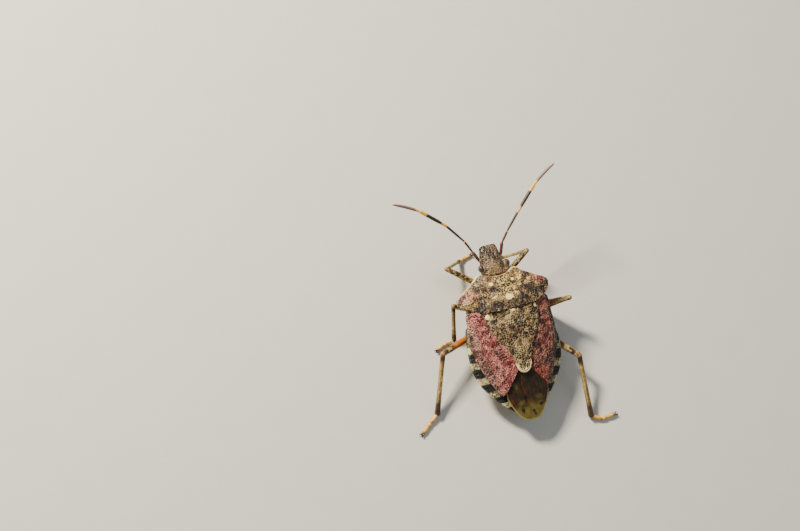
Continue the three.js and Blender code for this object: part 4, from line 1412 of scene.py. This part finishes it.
@dataclass
class Leg:
    """One leg, from its hip socket to its claws, by the places of its joints on the floor frame."""

    name: str
    root: tuple[float, float, float]
    hip: tuple[float, float, float]
    knee: tuple[float, float, float]
    ankle: tuple[float, float]
    bend: tuple[float, float]
    toe: tuple[float, float]
    orange: float = 0.0
    femur: float = 0.24
    tibia: float = 0.17
    foot: float = 0.14
    femur_shape: tuple[float, ...] = (0.85, 0.98, 1.05, 1.04, 0.96, 0.86)
    tibia_shape: tuple[float, ...] = (1.0, 0.96, 0.93, 0.95, 1.02, 1.15)
    coxa: tuple[float, ...] = (0.42, 0.42, 0.36, 0.28, 0.22)
    foot_shape: tuple[float, ...] = (0.72, 0.92, 1.0, 1.0, 1.0, 0.96, 0.82)
    foot_joints: Knots = ((0.0, 0.46), (0.47, 0.64), (0.65, 1.0))
    claw: Knots = ((0.16, 0.05), (0.28, 0.01), (0.34, -0.09))
    claw_radii: tuple[float, ...] = (0.055, 0.05, 0.036, 0.012)
    ankle_height: float = 0.3
    clearance: float = 0.01

    def _points(self) -> dict[str, Array]:
        """Joint places in the CAD frame, in millimetres."""
        return {
            "root": STANCE.body(*self.root),
            "hip": np.array(self.hip) + SHIFT,
            "knee": np.array(self.knee) + SHIFT,
            "ankle": np.array([*self.ankle, self.ankle_height]) + SHIFT,
            "bend": np.array([*self.bend, self.foot + self.clearance]) + SHIFT,
            "toe": np.array([*self.toe, self.foot + self.clearance]) + SHIFT,
        }

    @staticmethod
    def _line(start: Array, end: Array, count: int, bow: float = 0.0) -> Array:
        """Points between two places, raised in the middle by a bow."""
        share = np.linspace(0, 1, count)[:, None]
        line = start + (end - start) * share
        line[:, 2] += bow * np.sin(np.pi * share[:, 0])
        return line

    def build(self) -> None:
        """Makes the leg, its foot and its claws."""
        at = self._points()
        seed = sum(map(ord, self.name))
        mesh = Mesh(self.name)
        coxa = Tube(self._line(at["root"], at["hip"], 5), np.array(self.coxa), 30)
        coxa.add_to(mesh, 0.0, {Mask.PALE: 0.25, Mask.AMBER: 0.3})
        Ball(at["hip"], (self.femur * 0.95,) * 3, 28).add_to(mesh, {Mask.AMBER: 0.6})
        line = self._line(at["hip"], at["knee"], 6, 0.05)
        self._femur(mesh, Tube(line, self.femur * np.array(self.femur_shape), 110, 48), seed)
        knee_masks = {Mask.ROSE: 0.25, Mask.PALE: 0.15}
        Ball(at["knee"], (self.femur * 0.86,) * 3, 28).add_to(mesh, knee_masks)
        line = self._line(at["knee"], at["ankle"], 6)
        self._tibia(mesh, Tube(line, self.tibia * np.array(self.tibia_shape), 130, 48), seed + 1)
        dress(mesh, "leg", LEG_SKIN, self.name)
        self._tarsus(at)
        self._claws(at)

    def _femur(self, mesh: Mesh, tube: Tube, seed: int) -> None:
        """Adds the femur: speckled, on some legs with an orange base."""
        share, angle = tube.grid
        length, girth = share * tube.length, angle * self.femur
        nearest, _, owner = cells(length, girth, 0.085, seed)
        speck = ramp(nearest, 0.52, 0.3) * (owner < 0.8)
        light = cloud(length, girth, 0.22, seed + 2)
        base = self.orange * ramp(share + 0.15 * (light - 0.5), 0.8, 0.64)
        masks = {
            Mask.PIT: speck * mix(0.9, 0.3, base),
            Mask.PALE: ramp(light, 0.4, 0.6) * mix(0.65, 0.0, base),
            Mask.AMBER: np.clip(base, 0, 1),
            Mask.GLOOM: (1 - base) * ramp(light, 0.62, 0.4) * 0.6,
            Mask.ROSE: 0.6 * ramp(share, 0.92, 0.98),
        }
        tube.add_to(mesh, -0.01 * speck, masks)
        tube.hairs(mesh, 150, 0.08, seed, {Mask.PALE: 0.3})

    def _tibia(self, mesh: Mesh, tube: Tube, seed: int) -> None:
        """Adds the tibia: four-edged, with pale edges and dark ends."""
        share, angle = tube.grid
        length, girth = share * tube.length, angle * self.tibia
        edge = ramp(np.abs(np.sin(2 * angle)), 0.75, 1.0)
        nearest, _, owner = cells(length, girth, 0.1, seed)
        speck = ramp(nearest, 0.5, 0.25) * (owner < 0.6)
        light = cloud(length, girth, 0.4, seed + 2)
        below_knee = ramp(share, 0.02, 0.05) * ramp(share, 0.14, 0.09)
        lower_end = ramp(share + 0.1 * (light - 0.5), 0.72, 0.86)
        pale = 0.15 + edge * 0.3 + 0.25 * ramp(light, 0.45, 0.65)
        masks = {
            Mask.PIT: speck * 0.7,
            Mask.PALE: pale * (1 - lower_end) * ramp(share, 0.1, 0.2),
            Mask.AMBER: 0.25 * self.orange * ramp(light, 0.5, 0.7),
            Mask.GLOOM: np.clip(below_knee * 0.9 + lower_end * 0.65, 0, 1),
            Mask.ROSE: 0.6 * ramp(share, 0.03, 0.0),
        }
        tube.add_to(mesh, 0.1 * edge * tube.radius[:, None] - 0.01 * speck, masks)
        tube.hairs(mesh, 220, 0.1, seed, {Mask.PALE: 0.8})

    def _tarsus(self, at: dict[str, Array]) -> None:
        """Makes the three joints of the foot."""
        mesh = Mesh(self.name.replace("leg", "foot"))
        line = np.stack([at["ankle"], at["bend"], at["toe"]])
        radii = self.foot * np.array(self.foot_shape)
        for number, (start, end) in enumerate(self.foot_joints):
            path = places_on(line, np.linspace(start, end, len(radii)) * lengths(line)[-1])
            path[:, 2] = np.maximum(path[:, 2], self.foot + self.clearance / 2)
            tube = Tube(path, radii, 30, 28)
            share, angle = tube.grid
            masks = {
                # Painted highlight: the upper side of each joint is lightened, fading out towards its end.
                Mask.PALE: 0.6 * ramp(np.sin(angle), 0.1, 0.8) * ramp(share, 0.95, 0.6),
                Mask.AMBER: 0.5 * ramp(share, 0.5, 0.9),
                Mask.GLOOM: (0.85 if number == 2 else 0.3) * ramp(share, 0.65, 1.0),
            }
            tube.add_to(mesh, 0.0, masks)
            tube.hairs(mesh, 110, 0.08, number + 5, {Mask.PALE: 0.5})
        dress(mesh, "leg", FOOT_SKIN)

    def _claws(self, at: dict[str, Array]) -> None:
        """Makes the two hooked claws and the pads between them."""
        mesh = Mesh(self.name.replace("leg", "claws"))
        forward = unit(at["toe"] - at["bend"])
        across = unit(np.cross(forward, [0, 0, 1.0]))
        for side in (-1, 1):
            out = unit(forward + 0.62 * side * across)
            hook = [at["toe"] + out * reach + [0, 0, rise] for reach, rise in self.claw]
            path = np.stack([at["toe"] + forward * 0.05, *hook])
            Tube(path, np.array(self.claw_radii), 24, 16).add_to(mesh)
            pad = at["toe"] + forward * 0.15 + across * side * 0.05 + [0, 0, -0.06]
            Ball(pad, (0.06, 0.06, 0.045), 18).add_to(mesh)
        dress(mesh, "leg", CLAW_GLOSS)


@dataclass
class Antenna:
    """One five-jointed antenna, by the places of its joints on the floor frame."""

    side: Side
    joints: tuple[tuple[float, float, float], ...]
    root: tuple[float, float, float] = (1.0, 1.1, -0.66)
    radii: Knots = ((0.11, 0.135), (0.07, 0.09), (0.075, 0.1), (0.11, 0.145), (0.11, 0.12))
    last_radius: float = 0.125
    bulge: float = 0.07

    def build(self) -> None:
        """Makes the joints."""
        mesh = Mesh(f"antenna {self.side.word}")
        root = STANCE.body(self.side.value * self.root[0], *self.root[1:])
        points = [root, *(np.array(joint) + SHIFT for joint in self.joints)]
        for number, (start, end) in enumerate(zip(points, points[1:])):
            self._joint(mesh, number, start, end)
        dress(mesh, "antenna", FEELER_SKIN, f"antenna_{self.side.word}")

    def _joint(self, mesh: Mesh, number: int, start: Array, end: Array) -> None:
        """Adds one joint with its bands and bristles."""
        thin, thick = self.radii[number]
        share = np.linspace(0, 1, 9)
        path = start + (end - start) * (0.01 + 0.98 * share)[:, None]
        radii = mix(thin, thick, ramp(share, 0, 0.45))
        last = number == len(self.radii) - 1
        if last:
            radii = self.last_radius * np.sqrt(np.clip(1 - (np.abs(share - 0.45) / 0.62) ** 2.2, 0.05, 1))
            path[:, 1] -= self.bulge * np.sin(np.pi * share)
        tube = Tube(path, radii, 90, 32)
        place, angle = tube.grid
        pale = {
            1: ramp(place, 0.93, 0.98) * 0.7,
            2: ramp(place, 0.95, 0.99) * 0.6,
            3: np.maximum(ramp(place, 0.22, 0.14), ramp(place, 0.74, 0.8)),
            4: ramp(place, 0.2, 0.13),
        }.get(number, np.zeros(place.shape))
        red = {0: 0.85, 1: 0.6, 2: 0.15}.get(number, 0.05)
        tip_red = 0.6 * ramp(place, 0.8, 1.0) if last else 0.0
        # Painted sheen: the upper side of each joint, above all the last, is lightened with the rose
        # colour.
        sheen = (0.85 if last else 0.05) * ramp(np.sin(angle), -0.3, 0.8)
        masks = {Mask.PALE: pale, Mask.AMBER: red + tip_red, Mask.ROSE: sheen}
        tube.add_to(mesh, 0.0, masks)
        tube.hairs(mesh, 170, 0.08, number + 20, {Mask.AMBER: 0.5})


FORE_ROOT = (1.1, 3.45, -0.9)
MID_ROOT = (1.5, 5.2, -0.85)
HIND_ROOT = (1.6, 6.6, -0.95)


def right(root: tuple[float, float, float]) -> tuple[float, float, float]:
    """The place of a leg's root on the right side."""
    return (-root[0], root[1], root[2])


LEGS = (
    Leg(
        "leg_fore_left", FORE_ROOT, (0.95, -4.75, 1.6), (3.6, -6.59, 2.3), (1.39, -7.29), (0.82, -7.45),
        (0.24, -7.58), femur=0.23, tibia=0.14, foot=0.12,
    ),
    Leg(
        "leg_fore_right", right(FORE_ROOT), (-1.05, -4.65, 1.6), (-3.71, -6.37, 2.75), (-2.13, -6.68),
        (-1.5, -6.86), (-0.9, -6.66), femur=0.23, tibia=0.14, foot=0.12,
    ),
    Leg(
        "leg_mid_left", MID_ROOT, (1.8, -2.75, 1.35), (4.19, -3.39, 2.55), (4.07, -1.0), (5.22, -0.77),
        (5.67, -0.54), 0.5, foot=0.12,
    ),
    Leg(
        "leg_mid_right", right(MID_ROOT), (-1.8, -1.95, 1.35), (-6.03, -1.58, 2.9), (-4.35, -1.64),
        (-4.5, -0.95), (-4.6, -0.2), 0.8, foot=0.12,
    ),
    Leg(
        "leg_hind_left", HIND_ROOT, (2.05, -1.07, 1.05), (6.28, 0.2, 2.25), (7.58, 4.62), (8.42, 5.26),
        (9.31, 5.87), 1.0, femur=0.265, tibia=0.205, foot=0.15,
    ),
    Leg(
        "leg_hind_right", right(HIND_ROOT), (-2.05, -1.0, 1.05), (-5.6, 3.24, 2.05), (-5.71, 8.16),
        (-6.56, 8.66), (-7.86, 8.55), 0.4, femur=0.27, tibia=0.2, foot=0.15,
    ),
)
ANTENNAE = (
    Antenna(
        Side.LEFT,
        (
            (1.42, -7.14, 3.6), (2.09, -8.18, 4.1), (3.45, -9.75, 4.6), (5.55, -11.35, 5.2),
            (7.86, -12.38, 5.6),
        ),
    ),
    Antenna(
        Side.RIGHT,
        (
            (-1.27, -7.32, 3.75), (-1.88, -8.12, 4.2), (-3.08, -9.38, 4.8), (-4.91, -11.14, 5.6),
            (-6.89, -12.32, 6.4),
        ),
    ),
)


@dataclass
class Studio:
    """Camera of the photo, soft lights and a pale floor."""

    right: tuple[float, float, float] = (-0.89013, 0.30702, 0.33677)
    up: tuple[float, float, float] = (-0.22842, -0.94004, 0.25326)
    back: tuple[float, float, float] = (0.39433, 0.14851, 0.90689)
    origin_pixel: tuple[float, float] = (499.56, 340.43)
    frame_pixels: tuple[int, int] = (800, 531)
    pixels_per_mm: float = 11.96
    distance: float = 390.0
    sensor: float = 36.0
    floor_reach: float = 0.4
    lights: tuple[tuple[str, tuple[float, float, float], float, float, str], ...] = (
        ("key", (0.085, -0.13, 0.105), 0.03, 0.95, "fff2dc"),
        ("fill", (-0.12, 0.05, 0.12), 0.12, 0.05, "f4f6ff"),
        ("back", (0.12, 0.12, 0.08), 0.1, 0.04, "f4f6ff"),
    )

    def build(self) -> None:
        """Makes the camera, the lights and the floor."""
        self._camera()
        for light in self.lights:
            self._light(*light)
        self._floor()
        world = bpy.data.worlds.new("studio")
        world.use_nodes = True
        sky = world.node_tree.nodes["Background"].inputs
        sky["Color"].default_value = colour("eeebe4")
        sky["Strength"].default_value = 0.24
        bpy.context.scene.world = world

    def _camera(self) -> None:
        """Makes the camera from the pixel that shows the floor frame's origin."""
        right, up, back = (Vector(v) for v in (self.right, self.up, self.back))
        width, height = self.frame_pixels
        aside = (self.origin_pixel[0] - width / 2) / self.pixels_per_mm
        above = (height / 2 - self.origin_pixel[1]) / self.pixels_per_mm
        target = Vector(SHIFT) - right * aside - up * above
        data = bpy.data.cameras.new("camera")
        data.sensor_width = self.sensor
        data.lens = self.sensor * self.distance * self.pixels_per_mm / width
        data.clip_start, data.clip_end = 0.01, 10
        camera = bpy.data.objects.new("camera", data)
        turn = Matrix((right, up, back)).transposed().to_4x4()
        camera.matrix_world = Matrix.Translation((target + back * self.distance) * MM) @ turn
        bpy.context.scene.collection.objects.link(camera)
        bpy.context.scene.camera = camera

    @staticmethod
    def _light(name: str, place: tuple[float, float, float], size: float, power: float, tint: str) -> None:
        """Makes a soft square light that faces the object."""
        data = bpy.data.lights.new(name, "AREA")
        data.size, data.energy, data.color = size, power, colour(tint)[:3]
        light = bpy.data.objects.new(name, data)
        light.location = place
        light.rotation_euler = Vector(place).to_track_quat("Z", "Y").to_euler()
        bpy.context.scene.collection.objects.link(light)

    def _floor(self) -> None:
        """Makes the floor that the feet stand on."""
        signs = ((-1, -1), (1, -1), (1, 1), (-1, 1))
        corners = [(self.floor_reach * x, self.floor_reach * y, 0) for x, y in signs]
        mesh = bpy.data.meshes.new("floor")
        mesh.from_pydata(corners, [], [(0, 1, 2, 3)])
        floor = bpy.data.objects.new("floor", mesh)
        bpy.context.scene.collection.objects.link(floor)
        graph = Graph("floor paper")
        grain = graph.noise(2.0)
        graph.surface(Base_Color=graph.blend(colour("d9dbd6"), colour("d2d4cf"), grain), Roughness=0.8)
        mesh.materials.append(graph.material)


def main() -> None:
    """Builds the bug from the middle outwards, then the studio."""
    logging.basicConfig(level=logging.INFO, format="%(name)s %(message)s")
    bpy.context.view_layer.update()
    Thorax().build()
    Abdomen().build()
    for side in Side:
        Wing(side).build()
    Scutellum().build()
    Pronotum().build()
    Head().build()
    for side in Side:
        Eye(side).build()
    Beak().build()
    for leg in LEGS:
        leg.build()
    for antenna in ANTENNAE:
        antenna.build()
    Studio().build()


if __name__ == "__main__":
    main()
